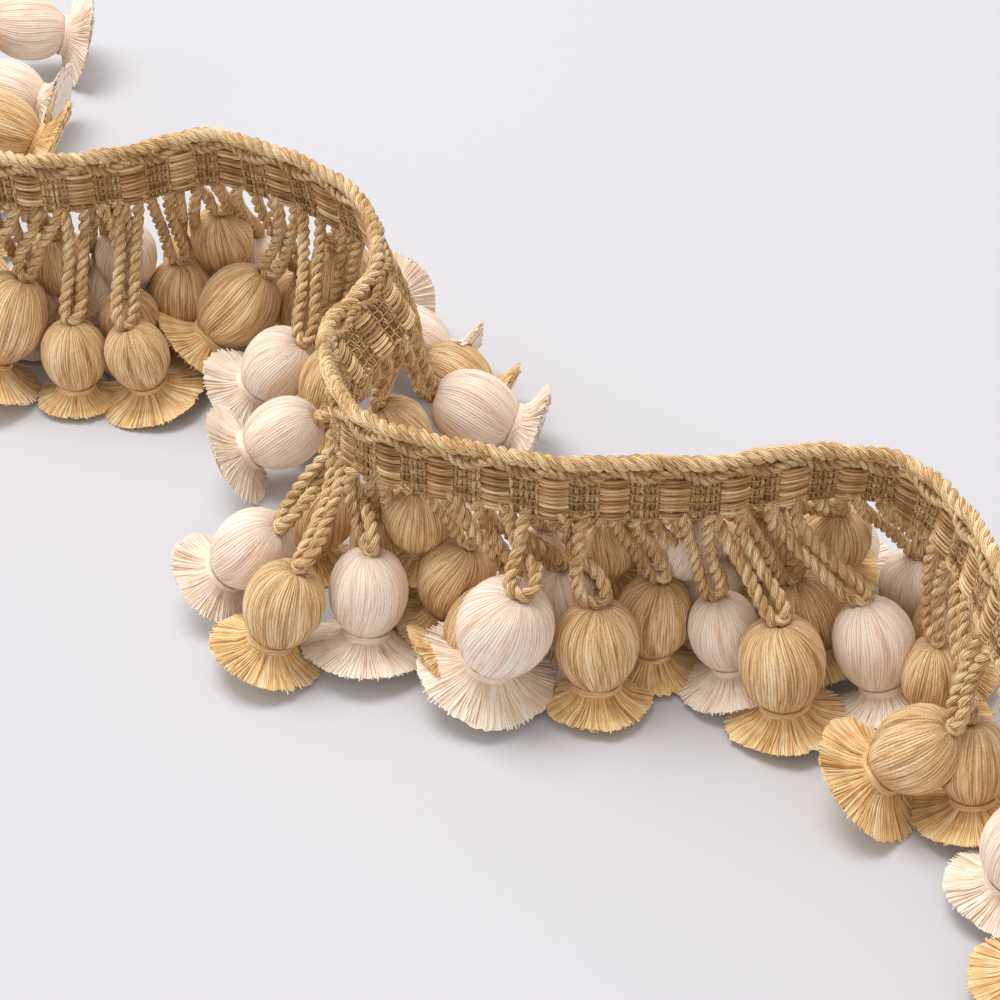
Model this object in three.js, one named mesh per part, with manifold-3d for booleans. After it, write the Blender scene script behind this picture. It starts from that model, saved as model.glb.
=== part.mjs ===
// Tassel fringe trim, standing on its ball tassels in a loose wave on a flat surface.
// Millimetres, +Z up. The origin is under the middle of the trim's footprint, on that surface.
// Pieces: a woven heading tape on edge, a heading cord along its top, one comb of cord loops
// under it, and a ball tassel with a neck tie and a flared skirt on every loop.
import * as THREE from 'three';
import { mergeVertices } from 'three/addons/utils/BufferGeometryUtils.js';
import Module from 'manifold-3d';

const manifold = await Module();
manifold.setup();

// ---- Driving dimensions -------------------------------------------------------------------

const CLEARANCE = 0.35; // between neighbouring pieces
const BASE_CENTRE = { x: -27.58, y: 25.07 }; // middle of the footprint in the layout tables' frame

const HEADING_STEPS = 56; // straight stretches along the whole heading
const CORD = { radius: 1.9, sides: 8 };
const TAPE = { thickness: 2.0, height: 10.3 };
const SELVEDGE = { thickness: 2.2, height: 1.2 };
const LOOP = { width: 4.8, thickness: 2.6, steps: 2, rootDepth: 0.15, fall: 4, rise: 3 };

const BALL = { radius: 7.5, sides: 7 }; // a tassel of this size is drawn, then scaled to its row
const POLE_HEIGHT = 8.3; // from that ball's centre to its pole
const SURFACE_BLOCK = 600; // side of the block under the surface that trims the skirts flat
const NEIGHBOUR_REACH = 34; // tassels whose centres are further apart than this can't touch

const HEADING_DROP = CORD.radius + CLEARANCE + TAPE.height + CLEARANCE + SELVEDGE.height;

const YARN = {
  gold: new THREE.MeshStandardMaterial({ color: 0xc39a5f, roughness: 0.85, metalness: 0 }),
  cream: new THREE.MeshStandardMaterial({ color: 0xead5bd, roughness: 0.85, metalness: 0 }),
};

// ---- Layout tables ------------------------------------------------------------------------

// The heading's route, a row for each stretch: x, y, z of the heading cord's centre, and how
// far the heading's foot swings out from under the cord, as toeX and toeY.
const ROUTE = [
  // back run
  { x: -148, y: 184, z: 38, toeX: 8, toeY: 0 },
  { x: -149, y: 166, z: 38, toeX: 8, toeY: 0 },
  { x: -149, y: 148, z: 38, toeX: 8, toeY: 0 },
  { x: -148, y: 131, z: 38, toeX: 8, toeY: 1 },
  { x: -146, y: 114, z: 39, toeX: 8, toeY: 2 },
  { x: -142, y: 97, z: 41, toeX: 7, toeY: 3 },
  { x: -136, y: 81, z: 44, toeX: 5, toeY: 3 },
  { x: -128, y: 66, z: 48, toeX: 3, toeY: 3 },
  { x: -119, y: 54, z: 51, toeX: 1, toeY: 3 },
  { x: -110, y: 46, z: 53, toeX: 0, toeY: 2 },
  // first crest
  { x: -100, y: 43, z: 53, toeX: 0, toeY: 2 },
  { x: -90, y: 42, z: 53, toeX: 0, toeY: 2 },
  { x: -81, y: 43.5, z: 53, toeX: 0, toeY: 2 },
  { x: -73, y: 46.5, z: 53, toeX: 0, toeY: 2 },
  { x: -65, y: 49.5, z: 54, toeX: 0, toeY: 2 },
  { x: -57, y: 50, z: 54.5, toeX: 0, toeY: 2.5 },
  { x: -50, y: 47, z: 54, toeX: 1, toeY: 2 },
  { x: -42, y: 43.5, z: 53, toeX: 2, toeY: 1 },
  { x: -35.5, y: 40, z: 51.5, toeX: 3, toeY: 0 },
  { x: -29.5, y: 35.5, z: 50, toeX: 4, toeY: -1 },
  // the bend that leans over
  { x: -26, y: 29.5, z: 48.5, toeX: 5, toeY: -2 },
  { x: -24.5, y: 22, z: 47, toeX: 6.5, toeY: -2.5 },
  { x: -24.2, y: 15.5, z: 45, toeX: 7.5, toeY: -3 },
  { x: -27, y: 9, z: 43.5, toeX: 8, toeY: -3 },
  { x: -31.5, y: 1, z: 43, toeX: 8, toeY: -3 },
  { x: -33, y: -7, z: 43, toeX: 7, toeY: -2.5 },
  { x: -31.5, y: -18, z: 44, toeX: 3.5, toeY: -1 },
  { x: -29, y: -28, z: 46, toeX: -1, toeY: 1 },
  { x: -25, y: -37, z: 47.5, toeX: -0.5, toeY: 1.5 },
  // middle run
  { x: -18, y: -43, z: 48.5, toeX: 0, toeY: 1.5 },
  { x: -9, y: -47.5, z: 49.3, toeX: 0, toeY: 1.5 },
  { x: 0, y: -51.3, z: 50, toeX: 0, toeY: 1.5 },
  { x: 10, y: -54, z: 50, toeX: 0, toeY: 1.5 },
  { x: 19, y: -54, z: 50, toeX: 0, toeY: 1.5 },
  { x: 28, y: -54, z: 50, toeX: 0, toeY: 1.5 },
  { x: 37, y: -54, z: 50, toeX: 0, toeY: 1.5 },
  { x: 46, y: -52.6, z: 50.5, toeX: 0, toeY: 2 },
  { x: 55, y: -51.4, z: 51, toeX: 0, toeY: 3 },
  { x: 63, y: -52.3, z: 50.6, toeX: 0, toeY: 4.5 },
  { x: 69, y: -53.4, z: 50, toeX: 0, toeY: 4 },
  // last bend and front run
  { x: 74, y: -58.6, z: 49.8, toeX: -1, toeY: 3 },
  { x: 78.2, y: -66, z: 49, toeX: -1, toeY: 2 },
  { x: 81, y: -76, z: 49, toeX: -1.5, toeY: 1 },
  { x: 83.5, y: -88, z: 48.5, toeX: -2.5, toeY: 0.5 },
  { x: 87, y: -102, z: 48, toeX: -3.5, toeY: 1 },
  { x: 90.5, y: -117, z: 48, toeX: -4, toeY: 1 },
  { x: 93, y: -132, z: 48, toeX: -4, toeY: 1 },
];

// The tassels in order along the heading: `at` is how far along it the loop is sewn, x, y, z the
// ball's centre, `lean` the skirt's swing from straight down in degrees, `toward` the compass
// angle it swings to (0 is +X, 90 is +Y), `size` the ball's radius, `flare` how far the skirt's
// brim spreads, and `front` the order in which neighbours press into each other: a tassel is
// hollowed by those with a higher number.
const TASSELS = [
  // back run
  { at: 8, x: -156, y: 174, z: 13.6, lean: 8, toward: 180, size: 7.2, flare: 1, front: 1, yarn: 'gold' },
  { at: 18, x: -118.3, y: 173.35, z: 14.1, lean: 70, toward: 14, size: 8, flare: 1.2, front: 2, yarn: 'cream' },
  { at: 31, x: -134, y: 160.5, z: 13.4, lean: 5, toward: 0, size: 7.2, flare: 1.06, front: 1, yarn: 'gold' },
  { at: 43, x: -118.6, y: 144, z: 12.4, lean: 76, toward: -10, size: 7.4, flare: 1.06, front: 2, yarn: 'cream' },
  { at: 52, x: -156, y: 131, z: 13.6, lean: 8, toward: 180, size: 7.3, flare: 1, front: 1, yarn: 'gold' },
  { at: 61, x: -117.5, y: 124.5, z: 14.2, lean: 64, toward: -6, size: 7.7, flare: 1.15, front: 3, yarn: 'gold' },
  { at: 78, x: -126.5, y: 108, z: 13.4, lean: 6, toward: 0, size: 7.3, flare: 1.06, front: 1, yarn: 'cream' },
  { at: 90, x: -151, y: 92, z: 13.6, lean: 10, toward: 200, size: 7.4, flare: 1.06, front: 1, yarn: 'gold' },
  { at: 106, x: -122.5, y: 90, z: 13.4, lean: 6, toward: 30, size: 7.3, flare: 1.06, front: 1, yarn: 'gold' },
  { at: 119, x: -143, y: 66, z: 13.6, lean: 10, toward: 210, size: 7.4, flare: 1.06, front: 1, yarn: 'cream' },
  { at: 131, x: -118, y: 73, z: 13.4, lean: 6, toward: 60, size: 7.2, flare: 1.06, front: 1, yarn: 'cream' },
  { at: 142, x: -131.5, y: 49, z: 13.6, lean: 10, toward: 230, size: 7.4, flare: 1.06, front: 1, yarn: 'gold' },
  { at: 152, x: -112, y: 58, z: 13.4, lean: 6, toward: 80, size: 7.2, flare: 1.06, front: 1, yarn: 'gold' },
  { at: 160, x: -118, y: 40.5, z: 13.6, lean: 12, toward: -100, size: 7.4, flare: 1.06, front: 2, yarn: 'cream' },
  // first crest
  { at: 169, x: -102.5, y: 39.9, z: 17.5, lean: 29, toward: -154, size: 8.2, flare: 1.14, front: 3, yarn: 'gold' },
  { at: 174, x: -88.5, y: 34.6, z: 11.9, lean: 4, toward: -100, size: 6.5, flare: 0.95, front: 3, yarn: 'gold' },
  { at: 179.5, x: -85.2, y: 57.5, z: 12.7, lean: 9, toward: -105, size: 6.6, flare: 1.1, front: 1, yarn: 'cream' },
  { at: 185, x: -75.1, y: 32.7, z: 13, lean: 13, toward: 20, size: 6.4, flare: 1.3, front: 4, yarn: 'gold' },
  { at: 192, x: -68, y: 54.7, z: 13, lean: 8, toward: -101, size: 6.8, flare: 1.1, front: 1, yarn: 'gold' },
  { at: 198, x: -66.5, y: 69.8, z: 13, lean: 30, toward: 90, size: 6.6, flare: 1.06, front: 0, yarn: 'gold' },
  { at: 206, x: -51.5, y: 66.5, z: 14, lean: 12, toward: 60, size: 7.3, flare: 1.06, front: 0, yarn: 'cream' },
  { at: 213, x: -42, y: 54.6, z: 11.5, lean: 15, toward: 120, size: 6.4, flare: 1.06, front: 0, yarn: 'gold' },
  { at: 218.5, x: -54.7, y: 46.3, z: 16.1, lean: 42, toward: -163, size: 7.8, flare: 1.08, front: 5, yarn: 'gold' },
  { at: 224, x: -45.1, y: 26.5, z: 14.8, lean: 40, toward: 166, size: 7, flare: 1.14, front: 3, yarn: 'cream' },
  { at: 232, x: -28, y: 49, z: 12.4, lean: 75, toward: 62, size: 7, flare: 1.06, front: 1, yarn: 'cream' },
  // the bend that leans over
  { at: 239, x: -18.9, y: 40.3, z: 11.5, lean: 70, toward: -23, size: 7.1, flare: 1.05, front: 2, yarn: 'cream' },
  { at: 246, x: -34, y: 20.5, z: 14.2, lean: 15, toward: -150, size: 6.6, flare: 1.06, front: 2, yarn: 'gold' },
  { at: 252, x: -9.4, y: 29.3, z: 10.1, lean: 68, toward: -19, size: 6.4, flare: 0.98, front: 3, yarn: 'gold' },
  { at: 262, x: -5.6, y: 14.6, z: 11.9, lean: 69, toward: -8, size: 7.5, flare: 1, front: 4, yarn: 'cream' },
  { at: 268.5, x: -20.5, y: 6.5, z: 12, lean: 25, toward: 0, size: 6.7, flare: 1.06, front: 1, yarn: 'gold' },
  { at: 275, x: -42.6, y: 5, z: 13.1, lean: 60, toward: -180, size: 6.8, flare: 1.17, front: 4, yarn: 'cream' },
  { at: 291, x: -34, y: -19, z: 12.2, lean: 20, toward: 180, size: 6.6, flare: 1.06, front: 1, yarn: 'gold' },
  { at: 303, x: -46, y: -33.1, z: 14.5, lean: 41, toward: 168, size: 7.1, flare: 1.04, front: 3, yarn: 'cream' },
  // middle run
  { at: 308, x: -39.2, y: -48.9, z: 14.6, lean: 20, toward: -166, size: 7.1, flare: 1.1, front: 4, yarn: 'gold' },
  { at: 313, x: -24.1, y: -44.9, z: 14.2, lean: 12, toward: -106, size: 7.1, flare: 1.22, front: 3, yarn: 'cream' },
  { at: 319, x: -21.5, y: -30.5, z: 13.6, lean: 8, toward: 90, size: 6.6, flare: 1.06, front: 0, yarn: 'gold' },
  { at: 331, x: -8, y: -40.5, z: 13.7, lean: 15, toward: 180, size: 6.9, flare: 1, front: 1, yarn: 'gold' },
  { at: 338, x: -2.4, y: -51.5, z: 11.8, lean: 50, toward: -162, size: 6.6, flare: 1, front: 2, yarn: 'gold' },
  { at: 342.5, x: 11, y: -45.5, z: 12.2, lean: 4, toward: -73, size: 6.6, flare: 1.1, front: 1, yarn: 'cream' },
  { at: 347.5, x: 0.9, y: -60.7, z: 19.1, lean: 19, toward: 141, size: 8.3, flare: 1.12, front: 6, yarn: 'cream' },
  { at: 352, x: 9.7, y: -31, z: 13.6, lean: 25, toward: 60, size: 7, flare: 1.06, front: 0, yarn: 'cream' },
  { at: 357.5, x: 17.4, y: -58.9, z: 13.7, lean: 6, toward: -80, size: 7.3, flare: 1, front: 5, yarn: 'gold' },
  { at: 366, x: 28.2, y: -49.6, z: 12.6, lean: 5, toward: -147, size: 6.8, flare: 1.03, front: 2, yarn: 'gold' },
  { at: 373, x: 39, y: -41.5, z: 13, lean: 12, toward: 70, size: 6.6, flare: 1.06, front: 0, yarn: 'cream' },
  { at: 379, x: 40.3, y: -54.5, z: 13.1, lean: 16, toward: -28, size: 6.3, flare: 1.3, front: 4, yarn: 'cream' },
  { at: 384.5, x: 49.9, y: -64.8, z: 14.5, lean: 9, toward: -43, size: 7.5, flare: 1.07, front: 6, yarn: 'gold' },
  { at: 389.5, x: 55.5, y: -49.5, z: 13.4, lean: 22, toward: -8, size: 6.6, flare: 1.01, front: 1, yarn: 'gold' },
  { at: 394.5, x: 66.7, y: -59.9, z: 14.8, lean: 22, toward: -47, size: 7.2, flare: 1.06, front: 4, yarn: 'cream' },
  { at: 403, x: 64, y: -30.5, z: 13, lean: 25, toward: 70, size: 6.9, flare: 1.06, front: 0, yarn: 'cream' },
  { at: 410, x: 76.9, y: -41.4, z: 12.8, lean: 8, toward: 89, size: 6.7, flare: 1.1, front: 0, yarn: 'cream' },
  // last bend and front run
  { at: 418, x: 81.2, y: -54.6, z: 13.2, lean: 8, toward: 30, size: 6.5, flare: 1.06, front: 1, yarn: 'gold' },
  { at: 428, x: 77.6, y: -66, z: 12.4, lean: 8, toward: -31, size: 6.5, flare: 1.09, front: 2, yarn: 'gold' },
  { at: 437, x: 80.3, y: -88.1, z: 13.2, lean: 14, toward: -64, size: 6.5, flare: 1.23, front: 3, yarn: 'gold' },
  { at: 450, x: 71, y: -88.1, z: 15.4, lean: 39, toward: 165, size: 7.1, flare: 1.22, front: 5, yarn: 'gold' },
  { at: 460, x: 86, y: -109.2, z: 13.6, lean: 12, toward: -170, size: 6.9, flare: 1.1, front: 3, yarn: 'cream' },
  { at: 472, x: 101, y: -108, z: 13.6, lean: 8, toward: 0, size: 7.2, flare: 1, front: 2, yarn: 'gold' },
  { at: 485, x: 87, y: -128.68, z: 14, lean: 9, toward: -172, size: 7.3, flare: 1.05, front: 3, yarn: 'gold' },
];

// ---- Curves -------------------------------------------------------------------------------

// A row's foot: the heading swings about the cord, so the further out its toe, the higher it is.
function footOf({ x, y, z, toeX, toeY }) {
  const drop = Math.sqrt(HEADING_DROP ** 2 - toeX ** 2 - toeY ** 2);
  return new THREE.Vector3(x + toeX, y + toeY, z - drop);
}

const smooth = (points) => new THREE.CatmullRomCurve3(points, false, 'catmullrom', 0.5);
const cordLine = smooth(ROUTE.map(({ x, y, z }) => new THREE.Vector3(x, y, z)));
const footLine = smooth(ROUTE.map(footOf));
const headingLength = cordLine.getLength();

// The heading's own axes at a share u of its length: the cord's centre, the way along it, the
// way down its face, and the way through its thickness.
function headingFrame(u) {
  const t = cordLine.getUtoTmapping(u);
  const top = cordLine.getPoint(t);
  const along = cordLine.getTangent(t);
  const down = footLine.getPoint(t).sub(top).normalize();
  const through = new THREE.Vector3().crossVectors(along, down).normalize();
  return { top, along, down, through };
}

// ---- Solids -------------------------------------------------------------------------------

function withoutSeams(geometry) {
  geometry.deleteAttribute('normal');
  geometry.deleteAttribute('uv');
  return mergeVertices(geometry, 1e-4);
}

function toManifold(geometry) {
  const welded = withoutSeams(geometry);
  return new manifold.Manifold(new manifold.Mesh({
    numProp: 3,
    vertProperties: new Float32Array(welded.attributes.position.array),
    triVerts: new Uint32Array(welded.index.array),
  }));
}

function fromManifold(solid) {
  const mesh = solid.getMesh();
  const geometry = new THREE.BufferGeometry();
  geometry.setAttribute('position', new THREE.BufferAttribute(new Float32Array(mesh.vertProperties), 3));
  geometry.setIndex(new THREE.BufferAttribute(new Uint32Array(mesh.triVerts), 1));
  return geometry;
}

// Cuts leave crumbs where a neighbour's rim pokes through, so only the biggest body is kept.
function biggestBody(geometry) {
  const index = geometry.index.array;
  const parent = Array.from({ length: geometry.attributes.position.count }, (_, i) => i);
  const rootOf = (i) => {
    let at = i;
    while (parent[at] !== at) at = parent[at];
    return at;
  };
  for (let i = 0; i < index.length; i += 3) {
    parent[rootOf(index[i + 1])] = rootOf(index[i]);
    parent[rootOf(index[i + 2])] = rootOf(index[i]);
  }
  const bodies = new Map();
  for (let i = 0; i < index.length; i += 3) {
    const root = rootOf(index[i]);
    if (!bodies.has(root)) bodies.set(root, []);
    bodies.get(root).push(index[i], index[i + 1], index[i + 2]);
  }
  const biggest = [...bodies.values()].sort((a, b) => b.length - a.length)[0];
  geometry.setIndex(biggest);
  return geometry;
}

// A box bent to follow a rule: `place` gives the point for a share along the box's length and
// offsets through its thickness and down its height.
function bentBox(steps, thickness, height, place) {
  const geometry = new THREE.BoxGeometry(1, thickness, height, steps, 1, 1);
  const position = geometry.attributes.position;
  for (let i = 0; i < position.count; i += 1) {
    const point = place(position.getX(i) + 0.5, position.getY(i), height / 2 - position.getZ(i));
    position.setXYZ(i, point.x, point.y, point.z);
  }
  return geometry;
}

// A strip of the heading that starts `below` the cord's centre and follows its folds.
function headingStrip({ thickness, height }, below) {
  return bentBox(HEADING_STEPS, thickness, height, (u, out, depth) => {
    const { top, down, through } = headingFrame(u);
    return top.addScaledVector(down, below + depth).addScaledVector(through, out);
  });
}

function headingCord() {
  const section = new THREE.Shape();
  for (let i = 0; i < CORD.sides; i += 1) {
    const angle = (2 * Math.PI * (i + 0.5)) / CORD.sides;
    const corner = [CORD.radius * Math.cos(angle), CORD.radius * Math.sin(angle)];
    if (i === 0) section.moveTo(...corner);
    else section.lineTo(...corner);
  }
  section.closePath();
  return new THREE.ExtrudeGeometry(section, {
    steps: HEADING_STEPS,
    bevelEnabled: false,
    extrudePath: cordLine,
  });
}

// Half outline of a tassel from its pole down: ball, neck tie, then the skirt's flared brim.
function tasselOutline(flare, grow) {
  return [
    [0, POLE_HEIGHT + grow],
    [4.9 + grow, 6.6 + grow],
    [7.9 + grow, 2],
    [7.2 + grow, -4],
    [4.4 + grow, -8.6],
    [10.3 * flare + grow, -12.4 + grow],
    [10.3 * flare + grow, -14.2 - grow],
    [0, -14.2 - grow],
  ].map(([radius, height]) => new THREE.Vector2(radius, height));
}

function skirtDirection({ lean, toward }) {
  const swing = THREE.MathUtils.degToRad(lean);
  const compass = THREE.MathUtils.degToRad(toward);
  return new THREE.Vector3(
    Math.sin(swing) * Math.cos(compass),
    Math.sin(swing) * Math.sin(compass),
    -Math.cos(swing),
  );
}

function tasselGeometry(row, grow = 0) {
  const scale = row.size / BALL.radius;
  const geometry = new THREE.LatheGeometry(tasselOutline(row.flare, grow / scale).reverse(), BALL.sides);
  const turn = new THREE.Quaternion().setFromUnitVectors(new THREE.Vector3(0, -1, 0), skirtDirection(row));
  geometry.scale(scale, scale, scale);
  geometry.applyQuaternion(turn);
  geometry.translate(row.x, row.y, row.z);
  return geometry;
}

// The surface's own block: what a skirt would push through it is pressed flat instead.
function surfaceBlock() {
  const geometry = new THREE.BoxGeometry(SURFACE_BLOCK, SURFACE_BLOCK, SURFACE_BLOCK);
  geometry.translate(BASE_CENTRE.x, BASE_CENTRE.y, -SURFACE_BLOCK / 2);
  return toManifold(geometry);
}

// One loop, both legs together, from the selvedge to a seat on its ball's pole.
function loopGeometry(row) {
  const { top, along, down } = headingFrame(row.at / headingLength);
  const root = top.clone().addScaledVector(down, HEADING_DROP - LOOP.rootDepth);
  const elbow = root.clone().addScaledVector(down, LOOP.fall);
  const away = skirtDirection(row).negate();
  const seat = new THREE.Vector3(row.x, row.y, row.z)
    .addScaledVector(away, (POLE_HEIGHT * row.size) / BALL.radius + CLEARANCE);
  const neck = seat.clone().addScaledVector(away, LOOP.rise);
  const path = new THREE.CubicBezierCurve3(root, elbow, neck, seat);
  return bentBox(LOOP.steps, LOOP.width, LOOP.thickness, (u, across, depth) => {
    const tangent = path.getTangent(u);
    const thick = new THREE.Vector3().crossVectors(along, tangent).normalize();
    const wide = new THREE.Vector3().crossVectors(tangent, thick).normalize();
    return path.getPoint(u).addScaledVector(wide, across)
      .addScaledVector(thick, depth - LOOP.thickness / 2);
  });
}

// The loop fringe: a selvedge with a tooth for every loop, clear of every tassel.
function loopFringe() {
  const below = HEADING_DROP - SELVEDGE.height;
  let comb = toManifold(headingStrip(SELVEDGE, below));
  for (const row of TASSELS) {
    let tooth = toManifold(loopGeometry(row));
    for (const other of TASSELS) {
      if (other !== row) tooth = tooth.subtract(toManifold(tasselGeometry(other, CLEARANCE)));
    }
    comb = comb.add(tooth);
  }
  return biggestBody(fromManifold(comb));
}

// A tassel, pressed flat on the surface and hollowed where a neighbour in front pushes into it.
function pressedTassel(row, surface) {
  let solid = toManifold(tasselGeometry(row)).subtract(surface);
  for (const other of TASSELS) {
    const near = Math.hypot(other.x - row.x, other.y - row.y) < NEIGHBOUR_REACH;
    const later = other.front === row.front && TASSELS.indexOf(other) > TASSELS.indexOf(row);
    if (other === row || !near || !(other.front > row.front || later)) continue;
    solid = solid.subtract(toManifold(tasselGeometry(other, CLEARANCE)));
  }
  return biggestBody(fromManifold(solid));
}

// ---- The trim -----------------------------------------------------------------------------

const trim = new THREE.Group();
trim.position.set(-BASE_CENTRE.x, -BASE_CENTRE.y, 0);

function addPiece(name, geometry, material) {
  const mesh = new THREE.Mesh(geometry, material);
  mesh.name = name;
  trim.add(mesh);
}

addPiece('heading_cord', headingCord(), YARN.gold);
addPiece('heading_tape', headingStrip(TAPE, CORD.radius + CLEARANCE), YARN.gold);
addPiece('loop_fringe', loopFringe(), YARN.gold);

const surface = surfaceBlock();
TASSELS.forEach((row, i) => {
  const name = `tassel_${String(i + 1).padStart(2, '0')}`;
  addPiece(name, pressedTassel(row, surface), YARN[row.yarn]);
});

export default trim;
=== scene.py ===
"""Ball tassel fringe trim, standing on its tassels in a loose wave.

The trim is a woven gimp heading with a twisted cord along its top edge, one long twisted
cord looped along its lower edge, and a ball tassel on every loop. Each piece is modelled in
millimetres in the layout's own frame, and its finished mesh is then moved, in metres, into
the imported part's frame.
"""

import logging
import math
from collections.abc import Callable, Sequence
from dataclasses import dataclass
from enum import Enum

import bmesh
import bpy
import numpy as np
from mathutils import Matrix, Vector


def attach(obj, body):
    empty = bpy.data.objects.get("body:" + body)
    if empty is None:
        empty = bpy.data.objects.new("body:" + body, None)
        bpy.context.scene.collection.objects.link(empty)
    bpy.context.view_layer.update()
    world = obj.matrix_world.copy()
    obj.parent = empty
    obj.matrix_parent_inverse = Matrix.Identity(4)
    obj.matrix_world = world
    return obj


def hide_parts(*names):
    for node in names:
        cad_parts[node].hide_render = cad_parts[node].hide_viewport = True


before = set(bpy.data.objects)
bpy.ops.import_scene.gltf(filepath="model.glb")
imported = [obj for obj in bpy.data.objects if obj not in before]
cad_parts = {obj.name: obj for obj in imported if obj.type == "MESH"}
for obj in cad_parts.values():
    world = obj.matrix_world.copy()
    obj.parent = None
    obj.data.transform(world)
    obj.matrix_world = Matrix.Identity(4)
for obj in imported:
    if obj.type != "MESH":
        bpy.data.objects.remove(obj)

LOG = logging.getLogger("trim")

METRE = 0.001  # metres in a millimetre
CENTIMETRE = 10.0  # millimetres in a centimetre
TINY = 1e-9  # keeps a division by no length harmless
TASSEL_REACH = 34.0  # tassels farther apart than this never touch
BASE_CENTRE = (-27.58, 25.07)  # middle of the footprint in the layout's frame
SEED = 41

Points = np.ndarray
Colour = tuple[float, float, float]


# ---- Layout --------------------------------------------------------------------------------


class Yarn(Enum):
    """The two yarns, by the record's material slots."""

    GOLD = "gold_yarn"
    CREAM = "cream_yarn"


class LoopForm(Enum):
    """How a tassel's two legs of cord hang."""

    OPEN = "open"
    CROSSED = "crossed"


@dataclass(frozen=True)
class RouteRow:
    """The heading cord's centre at one place, and how far the foot swings out from under it."""

    x: float
    y: float
    z: float
    toe_x: float
    toe_y: float


@dataclass(frozen=True)
class TasselRow:
    """Where one tassel hangs and lies.

    `at` is how far along the heading its loop is sewn, x, y, z the ball's centre, `lean` the
    skirt's swing from straight down, `toward` the compass angle it swings to, `size` the ball's
    radius, `flare` how far the skirt spreads, and `front` its rank among its neighbours: those
    of a higher rank press into it.
    """

    at: float
    x: float
    y: float
    z: float
    lean: float
    toward: float
    size: float
    flare: float
    front: int
    yarn: Yarn
    loop: LoopForm = LoopForm.OPEN

    @property
    def centre(self) -> Vector:
        """The ball's centre."""
        return Vector((self.x, self.y, self.z))

    @property
    def skirt_way(self) -> Vector:
        """Finds the way from the ball's centre to its skirt.

        Returns:
            The way, of length 1.
        """
        swing, compass = math.radians(self.lean), math.radians(self.toward)
        flat = math.sin(swing)
        return Vector((flat * math.cos(compass), flat * math.sin(compass), -math.cos(swing)))


ROUTE = [RouteRow(*row) for row in (
    # back run
    (-148, 184, 38, 8, 0),
    (-149, 166, 38, 8, 0),
    (-149, 148, 38, 8, 0),
    (-148, 131, 38, 8, 1),
    (-146, 114, 39, 8, 2),
    (-142, 97, 41, 7, 3),
    (-136, 81, 44, 5, 3),
    (-128, 66, 48, 3, 3),
    (-119, 54, 51, 1, 3),
    (-110, 46, 53, 0, 2),
    # first crest
    (-100, 43, 53, 0, 2),
    (-90, 42, 53, 0, 2),
    (-81, 43.5, 53, 0, 2),
    (-73, 46.5, 53, 0, 2),
    (-65, 49.5, 54, 0, 2),
    (-57, 50, 54.5, 0, 2.5),
    (-50, 47, 54, 1, 2),
    (-42, 43.5, 53, 2, 1),
    (-35.5, 40, 51.5, 3, 0),
    (-29.5, 35.5, 50, 4, -1),
    # the bend that leans over
    (-26, 29.5, 48.5, 5, -2),
    (-24.5, 22, 47, 6.5, -2.5),
    (-24.2, 15.5, 45, 7.5, -3),
    (-27, 9, 43.5, 8, -3),
    (-31.5, 1, 43, 8, -3),
    (-33, -7, 43, 7, -2.5),
    (-31.5, -18, 44, 3.5, -1),
    (-29, -28, 46, -1, 1),
    (-25, -37, 47.5, -0.5, 1.5),
    # middle run
    (-18, -43, 48.5, 0, 1.5),
    (-9, -47.5, 49.3, 0, 1.5),
    (0, -51.3, 50, 0, 1.5),
    (10, -54, 50, 0, 1.5),
    (19, -54, 50, 0, 1.5),
    (28, -54, 50, 0, 1.5),
    (37, -54, 50, 0, 1.5),
    (46, -52.6, 50.5, 0, 2),
    (55, -51.4, 51, 0, 3),
    (63, -52.3, 50.6, 0, 4.5),
    (69, -53.4, 50, 0, 4),
    # last bend and front run
    (74, -58.6, 49.8, -1, 3),
    (78.2, -66, 49, -1, 2),
    (81, -76, 49, -1.5, 1),
    (83.5, -88, 48.5, -2.5, 0.5),
    (87, -102, 48, -3.5, 1),
    (90.5, -117, 48, -4, 1),
    (93, -132, 48, -4, 1),
)]

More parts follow.
